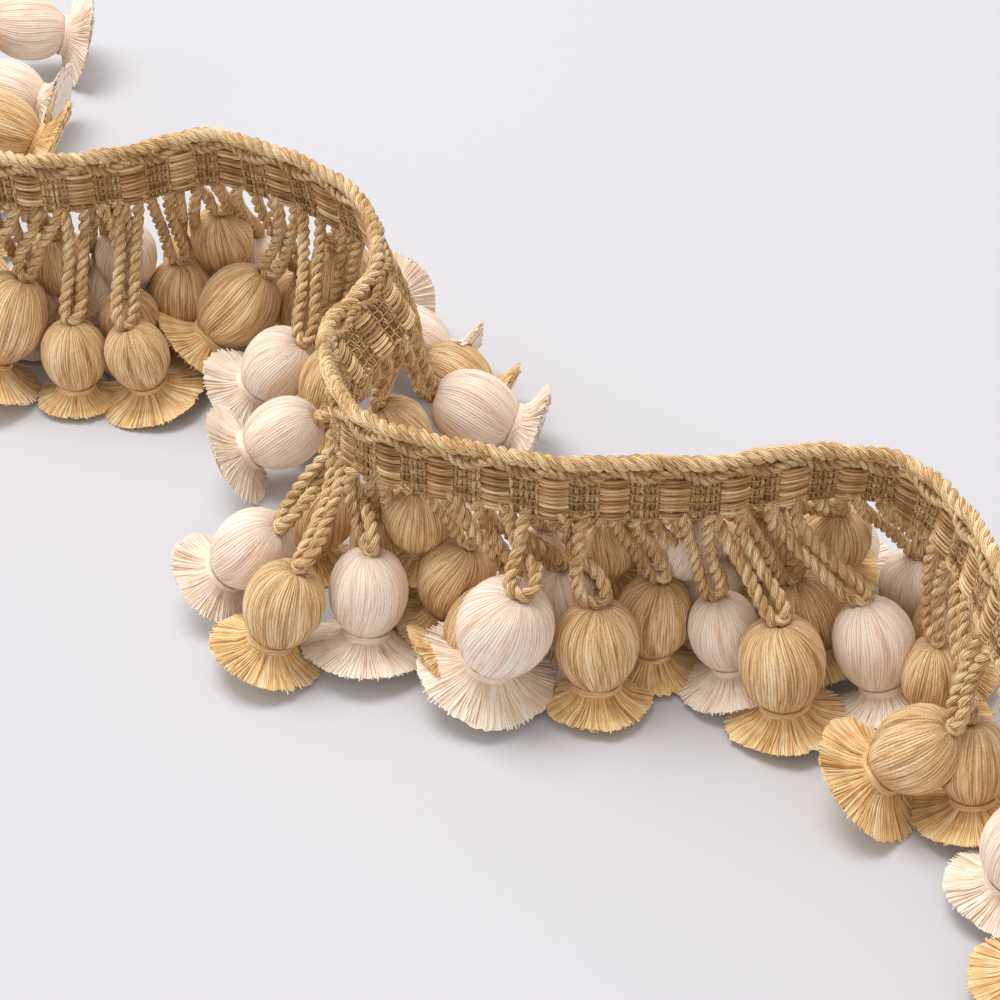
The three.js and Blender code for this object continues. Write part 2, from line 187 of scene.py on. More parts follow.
TASSELS = [TasselRow(*row) for row in (
    # back run
    (8, -156, 174, 13.6, 8, 180, 7.2, 1, 1, Yarn.GOLD),
    (18, -118.3, 173.35, 14.1, 70, 14, 8, 1.2, 2, Yarn.CREAM),
    (31, -134, 160.5, 13.4, 5, 0, 7.2, 1.06, 1, Yarn.GOLD),
    (43, -118.6, 144, 12.4, 76, -10, 7.4, 1.06, 2, Yarn.CREAM),
    (52, -156, 131, 13.6, 8, 180, 7.3, 1, 1, Yarn.GOLD),
    (61, -117.5, 124.5, 14.2, 64, -6, 7.7, 1.15, 3, Yarn.GOLD),
    (78, -126.5, 108, 13.4, 6, 0, 7.3, 1.06, 1, Yarn.CREAM),
    (90, -151, 92, 13.6, 10, 200, 7.4, 1.06, 1, Yarn.GOLD),
    (106, -122.5, 90, 13.4, 6, 30, 7.3, 1.06, 1, Yarn.GOLD),
    (119, -143, 66, 13.6, 10, 210, 7.4, 1.06, 1, Yarn.CREAM),
    (131, -118, 73, 13.4, 6, 60, 7.2, 1.06, 1, Yarn.CREAM),
    (142, -131.5, 49, 13.6, 10, 230, 7.4, 1.06, 1, Yarn.GOLD),
    (152, -112, 58, 13.4, 6, 80, 7.2, 1.06, 1, Yarn.GOLD),
    (160, -118, 40.5, 13.6, 12, -100, 7.4, 1.06, 2, Yarn.CREAM),
    # first crest
    (169, -102.5, 39.9, 17.5, 29, -154, 8.2, 1.14, 3, Yarn.GOLD),
    (174, -88.5, 34.6, 11.9, 4, -100, 6.5, 0.95, 3, Yarn.GOLD),
    (179.5, -85.2, 57.5, 12.7, 9, -105, 6.6, 1.1, 1, Yarn.CREAM),
    (185, -75.1, 32.7, 13, 13, 20, 6.4, 1.3, 4, Yarn.GOLD),
    (192, -68, 54.7, 13, 8, -101, 6.8, 1.1, 1, Yarn.GOLD),
    (198, -66.5, 69.8, 13, 30, 90, 6.6, 1.06, 0, Yarn.GOLD),
    (206, -51.5, 66.5, 14, 12, 60, 7.3, 1.06, 0, Yarn.CREAM),
    (213, -42, 54.6, 11.5, 15, 120, 6.4, 1.06, 0, Yarn.GOLD),
    (218.5, -54.7, 46.3, 16.1, 42, -163, 7.8, 1.08, 5, Yarn.GOLD),
    (224, -45.1, 26.5, 14.8, 40, 166, 7, 1.14, 3, Yarn.CREAM),
    (232, -28, 49, 12.4, 75, 62, 7, 1.06, 1, Yarn.CREAM),
    # the bend that leans over
    (239, -18.9, 40.3, 11.5, 70, -23, 7.1, 1.05, 2, Yarn.CREAM),
    (246, -34, 20.5, 14.2, 15, -150, 6.6, 1.06, 2, Yarn.GOLD),
    (252, -9.4, 29.3, 10.1, 68, -19, 6.4, 0.98, 3, Yarn.GOLD),
    (262, -5.6, 14.6, 11.9, 69, -8, 7.5, 1, 4, Yarn.CREAM),
    (268.5, -20.5, 6.5, 12, 25, 0, 6.7, 1.06, 1, Yarn.GOLD),
    (275, -42.6, 5, 13.1, 60, -180, 6.8, 1.17, 4, Yarn.CREAM),
    (291, -34, -19, 12.2, 20, 180, 6.6, 1.06, 1, Yarn.GOLD),
    (303, -46, -33.1, 14.5, 41, 168, 7.1, 1.04, 3, Yarn.CREAM, LoopForm.CROSSED),
    # middle run
    (308, -39.2, -48.9, 14.6, 20, -166, 7.1, 1.1, 4, Yarn.GOLD),
    (313, -24.1, -44.9, 14.2, 12, -106, 7.1, 1.22, 3, Yarn.CREAM, LoopForm.CROSSED),
    (319, -21.5, -30.5, 13.6, 8, 90, 6.6, 1.06, 0, Yarn.GOLD),
    (331, -8, -40.5, 13.7, 15, 180, 6.9, 1, 1, Yarn.GOLD),
    (338, -2.4, -51.5, 11.8, 50, -162, 6.6, 1, 2, Yarn.GOLD),
    (342.5, 11, -45.5, 12.2, 4, -73, 6.6, 1.1, 1, Yarn.CREAM),
    (347.5, 0.9, -60.7, 19.1, 19, 141, 8.3, 1.12, 6, Yarn.CREAM, LoopForm.CROSSED),
    (352, 9.7, -31, 13.6, 25, 60, 7, 1.06, 0, Yarn.CREAM),
    (357.5, 17.4, -58.9, 13.7, 6, -80, 7.3, 1, 5, Yarn.GOLD, LoopForm.CROSSED),
    (366, 28.2, -49.6, 12.6, 5, -147, 6.8, 1.03, 2, Yarn.GOLD),
    (373, 39, -41.5, 13, 12, 70, 6.6, 1.06, 0, Yarn.CREAM),
    (379, 40.3, -54.5, 13.1, 16, -28, 6.3, 1.3, 4, Yarn.CREAM),
    (384.5, 49.9, -64.8, 14.5, 9, -43, 7.5, 1.07, 6, Yarn.GOLD),
    (389.5, 55.5, -49.5, 13.4, 22, -8, 6.6, 1.01, 1, Yarn.GOLD),
    (394.5, 66.7, -59.9, 14.8, 22, -47, 7.2, 1.06, 4, Yarn.CREAM),
    (403, 64, -30.5, 13, 25, 70, 6.9, 1.06, 0, Yarn.CREAM),
    (410, 76.9, -41.4, 12.8, 8, 89, 6.7, 1.1, 0, Yarn.CREAM),
    # last bend and front run
    (418, 81.2, -54.6, 13.2, 8, 30, 6.5, 1.06, 1, Yarn.GOLD),
    (428, 77.6, -66, 12.4, 8, -31, 6.5, 1.09, 2, Yarn.GOLD),
    (437, 80.3, -88.1, 13.2, 14, -64, 6.5, 1.23, 3, Yarn.GOLD),
    (450, 71, -88.1, 15.4, 39, 165, 7.1, 1.22, 5, Yarn.GOLD),
    (460, 86, -109.2, 13.6, 12, -170, 6.9, 1.1, 3, Yarn.CREAM),
    (472, 101, -108, 13.6, 8, 0, 7.2, 1, 2, Yarn.GOLD),
    (485, 87, -128.68, 14, 9, -172, 7.3, 1.05, 3, Yarn.GOLD),
)]

# close behind the heading, seen only between the others
FURTHER_TASSELS = [TasselRow(*row) for row in (
    (158.8, -99, 54, 13.2, 8, 90, 6.5, 1, -1, Yarn.CREAM),
    (164.5, -93, 52.5, 23, 12, 80, 6.4, 1, -1, Yarn.GOLD),
    (178, -79, 55, 23, 12, 95, 6.4, 1, -1, Yarn.CREAM),
    (182, -78, 45, 13.2, 8, 90, 6.2, 0.9, -1, Yarn.GOLD),
    (201, -59, 60, 24, 12, 90, 6.4, 1, -1, Yarn.GOLD),
    (230, -33, 47, 24, 12, 60, 6.4, 1, -1, Yarn.GOLD),
    (292, -12, -21, 13.2, 8, 60, 6.5, 1, -1, Yarn.CREAM),
    (322, -15, -36, 25, 12, 70, 6.4, 1, -1, Yarn.GOLD),
    (360, 19, -42, 24, 12, 90, 6.4, 1, -1, Yarn.GOLD),
    (368, 27, -33, 13.2, 8, 90, 6.5, 1, -1, Yarn.GOLD),
    (376, 34, -44, 25, 12, 90, 6.3, 1, -1, Yarn.CREAM),
    (387, 47, -42, 24.5, 12, 90, 6.4, 1, -1, Yarn.GOLD),
    (392, 51, -30, 13.2, 8, 90, 6.5, 1, -1, Yarn.CREAM),
    (399, 61, -41, 24, 12, 80, 6.4, 1, -1, Yarn.GOLD),
)]


# ---- Lines and meshes ----------------------------------------------------------------------


def unit(rows: Points) -> Points:
    """Scales each row to length 1."""
    return rows / np.maximum(np.linalg.norm(rows, axis=-1, keepdims=True), TINY)


def smooth_line(points: Points, per_span: int = 24) -> Points:
    """Passes a smooth line through points.

    Args:
        points: The points, one row each.
        per_span: How many rows to make between two of them.

    Returns:
        The line's rows, the points themselves among them.
    """
    rows = np.vstack([2 * points[0] - points[1], points, 2 * points[-1] - points[-2]])
    share = np.linspace(0, 1, per_span, endpoint=False)[:, None]
    spans = [
        0.5 * (2 * b + (c - a) * share + (2 * a - 5 * b + 4 * c - d) * share**2
               + (3 * b - a - 3 * c + d) * share**3)
        for a, b, c, d in zip(rows, rows[1:], rows[2:], rows[3:])
    ]
    return np.vstack([*spans, points[-1:]])


def lengths_along(line: Points) -> Points:
    """How far along the line each of its rows is."""
    steps = np.linalg.norm(np.diff(line, axis=0), axis=1)
    return np.concatenate([[0.0], np.cumsum(steps)])


def between_rows(table: Points, at: Points, wanted: Points) -> Points:
    """The table's values at the wanted places, given the places of its own rows."""
    return np.column_stack([np.interp(wanted, at, column) for column in table.T])


def evenly_spaced(line: Points, spacing: float) -> Points:
    """Makes a line's rows equally far apart.

    Args:
        line: The line, one row for each point.
        spacing: About how far apart its rows are to be.

    Returns:
        The same line's new rows, from end to end.
    """
    at = lengths_along(line)
    count = max(2, round(at[-1] / spacing) + 1)
    return between_rows(line, at, np.linspace(0, at[-1], count))


def about_axis(radius: Points, angle: Points, height: Points) -> Points:
    """Points about an upright axis, by their distance from it, angle and height."""
    return np.column_stack([radius * np.cos(angle), radius * np.sin(angle), height])


class Section(Enum):
    """How many faces go round a yarn, by the curve's bevel resolution."""

    THREAD = 0
    YARN = 1
    CORD = 2

    @property
    def sides(self) -> int:
        """Faces round the yarn."""
        return 4 + 2 * self.value


def mesh_from(bm: bmesh.types.BMesh, name: str) -> bpy.types.Mesh:
    """Turns a bmesh, which is freed, into a mesh.

    Args:
        bm: The bmesh.
        name: The mesh's name.

    Returns:
        The mesh.
    """
    mesh = bpy.data.meshes.new(name)
    bm.to_mesh(mesh)
    bm.free()
    return mesh


def linked(name: str, data: bpy.types.ID) -> bpy.types.Object:
    """Adds an object to the scene.

    Args:
        name: The object's name.
        data: Its mesh, curve, light or camera.

    Returns:
        The object.
    """
    thing = bpy.data.objects.new(name, data)
    bpy.context.scene.collection.objects.link(thing)
    return thing


def yarns(name: str, lines: Sequence[Points], radius: float, section: Section,
          tones: Sequence[float], fade: float = 0.0, thinning: float = 1.0) -> bpy.types.Mesh:
    """Lays a round yarn along each line.

    Args:
        name: The mesh's name.
        lines: The yarns' centre lines.
        radius: Their radius.
        section: How round they are.
        tones: How much lighter or darker than the others each yarn is.
        fade: How much lighter each is at its end than at its start; the darker start is painted
            shade.
        thinning: The radius at each yarn's end, as a share of that at its start.

    Returns:
        One mesh whose UV map gives centimetres along each yarn and the share round it, and
        whose `tone` attribute gives its tone.
    """
    curve = bpy.data.curves.new(name, "CURVE")
    curve.dimensions = "3D"
    curve.bevel_depth = radius
    curve.bevel_resolution = section.value
    curve.use_fill_caps = True
    for line in lines:
        spline = curve.splines.new("POLY")
        spline.points.add(len(line) - 1)
        spline.points.foreach_set("co", np.column_stack([line, np.ones(len(line))]).ravel())
        spline.points.foreach_set("radius", np.linspace(1.0, thinning, len(line)))
    holder = linked(name, curve)
    mesh = bpy.data.meshes.new_from_object(holder)
    bpy.data.objects.remove(holder)
    bpy.data.curves.remove(curve)

    # the walls are quads; the end caps are triangles, and their vertices come first
    corners = np.zeros(len(mesh.polygons), np.int32)
    mesh.polygons.foreach_get("loop_total", corners)
    wall = corners == 4
    owner = np.repeat(np.arange(len(lines)), [(len(line) - 1) * section.sides for line in lines])
    length = np.array([lengths_along(line)[-1] for line in lines])
    uv = np.zeros(len(mesh.loops) * 2, np.float32)
    mesh.uv_layers[0].data.foreach_get("uv", uv)
    uv = uv.reshape(-1, 2)
    uv[np.repeat(wall, corners), 0] *= np.repeat(length[owner] / CENTIMETRE, 4)
    mesh.uv_layers[0].data.foreach_set("uv", uv.ravel())
    walls = [np.repeat(tone + fade * np.linspace(-0.5, 0.5, len(line)), section.sides)
             for tone, line in zip(tones, lines)]
    caps = np.full(2 * len(lines) * section.sides, np.mean(tones) + fade)
    mesh.attributes.new("tone", "FLOAT", "POINT").data.foreach_set(
        "value", np.concatenate([caps, *walls]).astype(np.float32))
    return mesh


def joined(name: str, meshes: Sequence[bpy.types.Mesh],
           numbers: Sequence[int] | None = None) -> bpy.types.Mesh:
    """Joins several meshes, which are removed.

    Args:
        name: The new mesh's name.
        meshes: The meshes.
        numbers: Each mesh's material number; its faces keep their own if not given.

    Returns:
        The new mesh, smooth shaded.
    """
    bm = bmesh.new()
    for mesh, number in zip(meshes, numbers or [None] * len(meshes)):
        had = len(bm.faces)
        bm.from_mesh(mesh)
        bm.faces.ensure_lookup_table()
        for face in bm.faces[had:]:
            if number is not None:
                face.material_index = number
            face.smooth = True
    made = mesh_from(bm, name)
    for mesh in meshes:
        bpy.data.meshes.remove(mesh)
    return made


def coordinates(mesh: bpy.types.Mesh) -> Points:
    """Reads a mesh's vertices.

    Args:
        mesh: The mesh.

    Returns:
        Their places, one row each.
    """
    rows = np.zeros(len(mesh.vertices) * 3, np.float32)
    mesh.vertices.foreach_get("co", rows)
    return rows.reshape(-1, 3).astype(float)


def add_piece(name: str, mesh: bpy.types.Mesh, finishes: Sequence[bpy.types.Material],
              stands_for: Sequence[str] = ()) -> bpy.types.Object:
    """Moves a finished mesh into the part's frame and adds it to the scene.

    Args:
        name: The piece's name.
        mesh: Its mesh, in millimetres in the layout's frame.
        finishes: Its materials, by the faces' material numbers.
        stands_for: The CAD nodes that it replaces.

    Returns:
        The piece.
    """
    shift = Matrix.Translation((-BASE_CENTRE[0] * METRE, -BASE_CENTRE[1] * METRE, 0))
    mesh.transform(shift @ Matrix.Scale(METRE, 4))
    for finish in finishes:
        mesh.materials.append(finish)
    piece = linked(name, mesh)
    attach(piece, "root")
    if stands_for:
        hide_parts(*stands_for)
    LOG.info("%s: %d triangles", name, sum(len(p.vertices) - 2 for p in mesh.polygons))
    return piece


# ---- Finishes ------------------------------------------------------------------------------


class Shade:
    """One material's nodes, and the way that this script adds to them."""

    def __init__(self, name: str) -> None:
        """Starts an empty material.

        Args:
            name: The material's name.
        """
        self.material = bpy.data.materials.new(name)
        self.material.use_nodes = True
        self.tree = self.material.node_tree
        self.tree.nodes.clear()

    def node(self, kind: str, settings: dict[str, object] | None = None,
             sockets: dict[str | int, object] | None = None) -> bpy.types.Node:
        """Adds a node.

        Args:
            kind: The node's type.
            settings: Its properties, set before its sockets are.
            sockets: Values, or the Wire or output that feeds them, by name or number.

        Returns:
            The node.
        """
        node = self.tree.nodes.new(kind)
        for key, value in (settings or {}).items():
            setattr(node, key, value)
        for key, value in (sockets or {}).items():
            if isinstance(value, Wire):
                value = value.socket
            if isinstance(value, bpy.types.NodeSocket):
                self.tree.links.new(value, node.inputs[key])
            else:
                node.inputs[key].default_value = value
        return node

    def wire(self, kind: str, output: str | int, settings: dict[str, object] | None = None,
             sockets: dict[str | int, object] | None = None) -> "Wire":
        """Adds a node and gives one of its outputs as a Wire."""
        return Wire(self, self.node(kind, settings, sockets).outputs[output])

    def finished(self, body: bpy.types.Node) -> bpy.types.Material:
        """Makes a node the material's surface and gives the material."""
        self.node("ShaderNodeOutputMaterial", None, {"Surface": body.outputs[0]})
        return self.material


class Wire:
    """A socket's value, for arithmetic between sockets and numbers."""

    def __init__(self, shade: Shade, socket: bpy.types.NodeSocket) -> None:
        """Wraps a socket.

        Args:
            shade: The material that the socket is in.
            socket: The output that carries the value.
        """
        self.shade = shade
        self.socket = socket

    def _maths(self, operation: str, *values: "Wire | float") -> "Wire":
        """Adds a Math node."""
        sockets = dict(enumerate(values))
        return self.shade.wire("ShaderNodeMath", 0, {"operation": operation}, sockets)

    def __add__(self, other: "Wire | float") -> "Wire":
        """self + other."""
        return self._maths("ADD", self, other)

    __radd__ = __add__

    def __sub__(self, other: "Wire | float") -> "Wire":
        """self - other."""
        return self._maths("SUBTRACT", self, other)

    def __rsub__(self, other: float) -> "Wire":
        """other - self."""
        return self._maths("SUBTRACT", other, self)

    def __mul__(self, other: "Wire | float") -> "Wire":
        """self * other."""
        return self._maths("MULTIPLY", self, other)

    __rmul__ = __mul__

    def __pow__(self, other: float) -> "Wire":
        """self ** other."""
        return self._maths("POWER", self, other)

    def __abs__(self) -> "Wire":
        """abs(self)."""
        return self._maths("ABSOLUTE", self)

    def sine(self) -> "Wire":
        """The sine of the value, in radians."""
        return self._maths("SINE", self)

    def cosine(self) -> "Wire":
        """The cosine of the value, in radians."""
        return self._maths("COSINE", self)


@dataclass(frozen=True)
class YarnColours:
    """A yarn's colours: its darkest, painted shade in its hollows and on darker strands; its own
    colour on the whole; and its lightest, a painted highlight where it catches the light and on
    lighter strands.
    """

    dark: Colour
    middle: Colour
    light: Colour


# whole yarns, the same yarns where they are cut, and the heading's darker gold
COLOURS = {
    Yarn.GOLD: YarnColours((0.36, 0.185, 0.068), (0.80, 0.52, 0.245), (1.0, 0.88, 0.63)),
    Yarn.CREAM: YarnColours((0.74, 0.51, 0.36), (0.97, 0.82, 0.675), (1.0, 0.98, 0.91)),
}
CUT_COLOURS = {
    Yarn.GOLD: YarnColours((0.48, 0.25, 0.078), (0.88, 0.57, 0.245), (1.0, 0.90, 0.60)),
    Yarn.CREAM: YarnColours((0.78, 0.56, 0.38), (0.96, 0.82, 0.66), (1.0, 0.965, 0.89)),
}
HEADING_COLOURS = YarnColours((0.22, 0.105, 0.031), (0.66, 0.39, 0.16), (1.0, 0.83, 0.51))


@dataclass(frozen=True)
class YarnFinish:
    """Spun yarn: long streaks that follow its strands, with painted shade in the grooves between
    them.
    """

    name: str
    colours: YarnColours
    strands: int  # round the piece
    lean: float = 0.0  # strands that the lay shifts by, each centimetre
    wander: float = 0.0  # strands that a thread strays by
    streak: float = 2.0  # streaks to a centimetre of length
    relief: float = 0.1  # depth of the grooves, in millimetres, or 0 on a single thread
    groove_shade: float = 0.3  # how much painted shade darkens the grooves
    contrast: float = 1.0  # between the streaks
    bundle: float = 1.0  # how much lighter and darker whole bundles of strands are
    fuzz: float = 0.25  # the fine unevenness of cotton
    sheen: float = 0.12

    # each pattern's blotches to a strand, and its streaks to a centimetre
    fibre_grain = 1.3
    bundle_grain = 0.2
    bundle_streak = 0.3  # as a share of the finish's streak
    stray_grain = 0.09
    stray_streak = 0.5
    fuzz_grain = 2600.0  # blotches to a metre

    # what the streaks and the piece's tone add to the lightness
    streak_light = 1.5
    tone_light = 0.25

    def make(self) -> bpy.types.Material:
        """Builds the material.

        Returns:
            The material, which reads the piece's UV map and its tone.
        """
        shade = Shade(self.name)
        split = shade.node("ShaderNodeSeparateXYZ", None, {
            0: shade.node("ShaderNodeUVMap", {"uv_map": "UVMap"}).outputs[0]})
        along = Wire(shade, split.outputs["X"])
        strand = Wire(shade, split.outputs["Y"]) * self.strands + along * self.lean
        if self.wander:
            stray = self._noise(shade, strand, along, self.stray_grain, self.stray_streak, 1.0)
            strand = strand + (stray - 0.5) * self.wander
        tone = shade.wire("ShaderNodeAttribute", "Fac", {"attribute_name": "tone"})
        fibres = self._noise(shade, strand, along, self.fibre_grain, self.streak, 3.0)
        bundles = self._noise(shade, strand, along, self.bundle_grain,
                              self.streak * self.bundle_streak, 1.0)
        place = shade.node("ShaderNodeTexCoord").outputs["Object"]
        down = shade.wire("ShaderNodeTexNoise", "Fac", None, {
            "Vector": place, "Scale": self.fuzz_grain, "Detail": 2.0}) - 0.5
        ridge = abs((strand * math.pi).sine())
        # painted shade darkens the grooves between the strands
        groove_shade_mask = (1 - ridge) ** 3
        light = (0.5 + (fibres - 0.5) * (self.streak_light * self.contrast)
                 + (bundles - 0.5) * self.bundle + tone * self.tone_light + down * self.fuzz
                 - groove_shade_mask * self.groove_shade)
        colour = shade.node("ShaderNodeValToRGB", None, {"Fac": light})
        ramp = colour.color_ramp
        ramp.elements[0].color = (*self.colours.dark, 1)
        ramp.elements[1].color = (*self.colours.light, 1)
        ramp.elements.new(0.5).color = (*self.colours.middle, 1)
        body = shade.node("ShaderNodeBsdfPrincipled", None, {
            "Base Color": colour.outputs["Color"], "Roughness": 0.6 + fibres * 0.25,
            "Sheen Weight": self.sheen, "Sheen Roughness": 0.5,
            "Sheen Tint": (*self.colours.light, 1), "Specular IOR Level": 0.35})
        if self.relief:
            bump = shade.node("ShaderNodeBump", None, {
                "Strength": 1.0, "Distance": self.relief * METRE,
                "Height": ridge * 0.7 + fibres * 0.5 + down * 0.5})
            shade.tree.links.new(bump.outputs["Normal"], body.inputs["Normal"])
        return shade.finished(body)

    def _noise(self, shade: Shade, strand: Wire, along: Wire, across: float, streak: float,
               detail: float) -> Wire:
        """Noise that is drawn out along the yarn and meets itself round it.

        Args:
            shade: The material.
            strand: Which strand a point is on.
            along: How far along it is, in centimetres.
            across: Blotches to a strand.
            streak: Blotches to a centimetre of length.
            detail: The noise's detail.

        Returns:
            The noise, from 0 to 1.
        """
        turn = strand * (2 * math.pi / self.strands)
        radius = self.strands * across / (2 * math.pi)
        place = shade.node("ShaderNodeCombineXYZ", None, {
            0: turn.cosine() * radius, 1: turn.sine() * radius, 2: along * streak})
        return shade.wire("ShaderNodeTexNoise", "Fac", None, {
            "Vector": place.outputs[0], "Scale": 1.0, "Detail": detail, "Roughness": 0.6})


@dataclass(frozen=True)
class TableFinish:
    """The plain pale surface that the trim stands on."""

    colour: Colour = (0.623, 0.625, 0.665)
    mottle_grain: float = 6.0  # blotches to a metre

    def make(self) -> bpy.types.Material:
        """Builds the material.

        Returns:
            The material.
        """
        shade = Shade("table")
        place = shade.node("ShaderNodeTexCoord").outputs["Object"]
        mottle = shade.wire("ShaderNodeTexNoise", "Fac", None, {
            "Vector": place, "Scale": self.mottle_grain})
        return shade.finished(shade.node("ShaderNodeBsdfPrincipled", None, {
            "Base Color": (*self.colour, 1), "Roughness": 0.75 + mottle * 0.1}))


# ---- Heading -------------------------------------------------------------------------------


class HeadingLine:
    """The heading's run in the layout: where a point lies along, down and out of it."""

    drop = 14.1  # from the heading cord's centre to the heading's foot

    def __init__(self, rows: Sequence[RouteRow]) -> None:
        """Passes the heading cord and the foot through the rows.

        Args:
            rows: The heading's route.
        """
        feet = []
        for row in rows:
            drop = math.sqrt(self.drop**2 - row.toe_x**2 - row.toe_y**2)
            feet.append((row.x + row.toe_x, row.y + row.toe_y, row.z - drop))
        self._top = smooth_line(np.array([(row.x, row.y, row.z) for row in rows]))
        self._foot = smooth_line(np.array(feet))
        self._at = lengths_along(self._top)
        self._way = unit(np.gradient(self._top, axis=0))
        self.length = float(self._at[-1])

    def axes(self, at: Points) -> tuple[Points, Points, Points, Points]:
        """Finds the heading's own axes.

        Args:
            at: Distances along the heading cord.

        Returns:
            The cord's centre, the way along it, the way down the face and the way out of the
            front face, at each distance.
        """
        top = between_rows(self._top, self._at, at)
        along = unit(between_rows(self._way, self._at, at))
        down = unit(between_rows(self._foot, self._at, at) - top)
        return top, along, down, unit(np.cross(down, along))

    def place(self, at: Points, depth: Points | float, out: Points | float) -> Points:
        """Finds points by the heading's own axes.

        Args:
            at: Their distances along the heading cord.
            depth: Their depths down the face, from the cord's centre.
            out: How far out of the front face they are.

        Returns:
            The points, one row each.
        """
        top, _, down, front = self.axes(np.asarray(at, float))
        depth = np.broadcast_to(depth, len(top))[:, None]
        out = np.broadcast_to(out, len(top))[:, None]
        return top + down * depth + front * out


@dataclass(frozen=True)
class TwistedCord:
    """Plies laid round each other, rising to the right as on most cords."""

    ply_radius: float
    ply_offset: float  # from the cord's centre to a ply's
    pitch: float
    plies: int = 2
    spacing: float = 0.65

    def plies_along(self, line: Points) -> list[Points]:
        """Lays the plies along a line.

        Args:
            line: The cord's centre line.

        Returns:
            One centre line for each ply.
        """
        rows = evenly_spaced(line, self.spacing)
        along = unit(np.gradient(rows, axis=0))
        side = self._sides(along)
        other = np.cross(along, side)
        turn = 2 * math.pi * lengths_along(rows) / self.pitch
        made = []
        for ply in range(self.plies):
            angle = (turn + 2 * math.pi * ply / self.plies)[:, None]
            made.append(rows + self.ply_offset * (side * np.cos(angle) + other * np.sin(angle)))
        return made

    @staticmethod
    def _sides(along: Points) -> Points:
        """Finds ways out of the cord that roll with it as little as can be.

        Args:
            along: The way along the cord at each of its rows.

        Returns:
            A way out of it at each row.
        """
        way = np.array((0.0, 0.0, 1.0))
        sides = []
        for step in along:
            way = way - step * np.dot(way, step)
            if np.linalg.norm(way) < 1e-6:  # the cord starts straight up
                way = np.cross(step, (1.0, 0.3, 0.2))
            way = way / np.linalg.norm(way)
            sides.append(way)
        return np.array(sides)


@dataclass(frozen=True)
class Repeat:
    """The tape's repeat: one window of floats and one block of two ribs."""

    length: float = 10.47
    first: float = 8.53  # the middle of the first window along the heading
    last_margin: float = 1.0  # from the last block's middle to the heading's end, at least

    def windows(self, end: float) -> Points:
        """Where the middle of each window is."""
        return np.arange(self.first, end - 0.5 * self.length, self.length)

    def blocks(self, end: float) -> Points:
        """Where the middle of each rib block is."""
        return np.arange(self.first - self.length / 2, end - self.last_margin, self.length)

    def beat(self, at: Points) -> Points:
        """A wave that is 1 at each window and -1 at each block."""
        return np.cos(2 * math.pi * (at - self.first) / self.length)


@dataclass
class HeadingCord:
    """The thick cord on the tape's top edge, and the thinner one that dips at each rib block."""

    line: HeadingLine
    repeat: Repeat
    rope: TwistedCord = TwistedCord(ply_radius=0.84, ply_offset=0.78, pitch=4.3, spacing=0.6)
    scallop: TwistedCord = TwistedCord(ply_radius=0.52, ply_offset=0.46, pitch=3.3, spacing=0.44)
    scallop_high: float = 1.1  # the scalloped cord's depth over a window
    scallop_low: float = 2.95  # and over a rib block
    scallop_out: float = 0.9  # from the middle of the heading
    rope_tones: tuple[float, ...] = (0.85, 0.7)  # of the thick cord's plies
    scallop_tones: tuple[float, ...] = (0.6, 0.4)
    lift: float = 0.25  # of the thick cord above the heading's line
    sway: float = 0.22  # down over a window and up over a rib block
    drift: float = 0.09  # how unevenly it is sewn
    rows: int = 1400  # places that the cords' lines are worked out at

    def build(self) -> None:
        """Makes the cords and adds them as one piece."""
        rng = np.random.default_rng(SEED)
        at = np.linspace(0, self.line.length, self.rows)
        beat = self.repeat.beat(at)
        stitches = 2 * len(self.repeat.windows(self.line.length))
        drift = smooth_line(rng.normal(0, self.drift, (stitches, 3)))
        drift = between_rows(drift, np.linspace(0, at[-1], len(drift)), at)
        top = self.line.place(at, self.sway * beat - self.lift + drift[:, 0], drift[:, 1])
        lines = self.rope.plies_along(top)
        meshes = [yarns("rope", lines, self.rope.ply_radius, Section.CORD, self.rope_tones)]
        middle = (self.scallop_high + self.scallop_low) / 2
        dip = (self.scallop_low - self.scallop_high) / 2
        for face in (1, -1):
            edge = self.line.place(at, middle - dip * beat + drift[:, 1], face * self.scallop_out)
            meshes.append(yarns("scallop", self.scallop.plies_along(edge), self.scallop.ply_radius,
                                Section.YARN, self.scallop_tones))
        thick = YarnFinish("cord_yarn", HEADING_COLOURS, 11, lean=4, streak=4, relief=0.18,
                           groove_shade=0.4, contrast=1.3, fuzz=0.6).make()
        add_piece("twisted_heading_cord", joined("heading_cord_yarn", meshes), [thick],
                  ["heading_cord"])


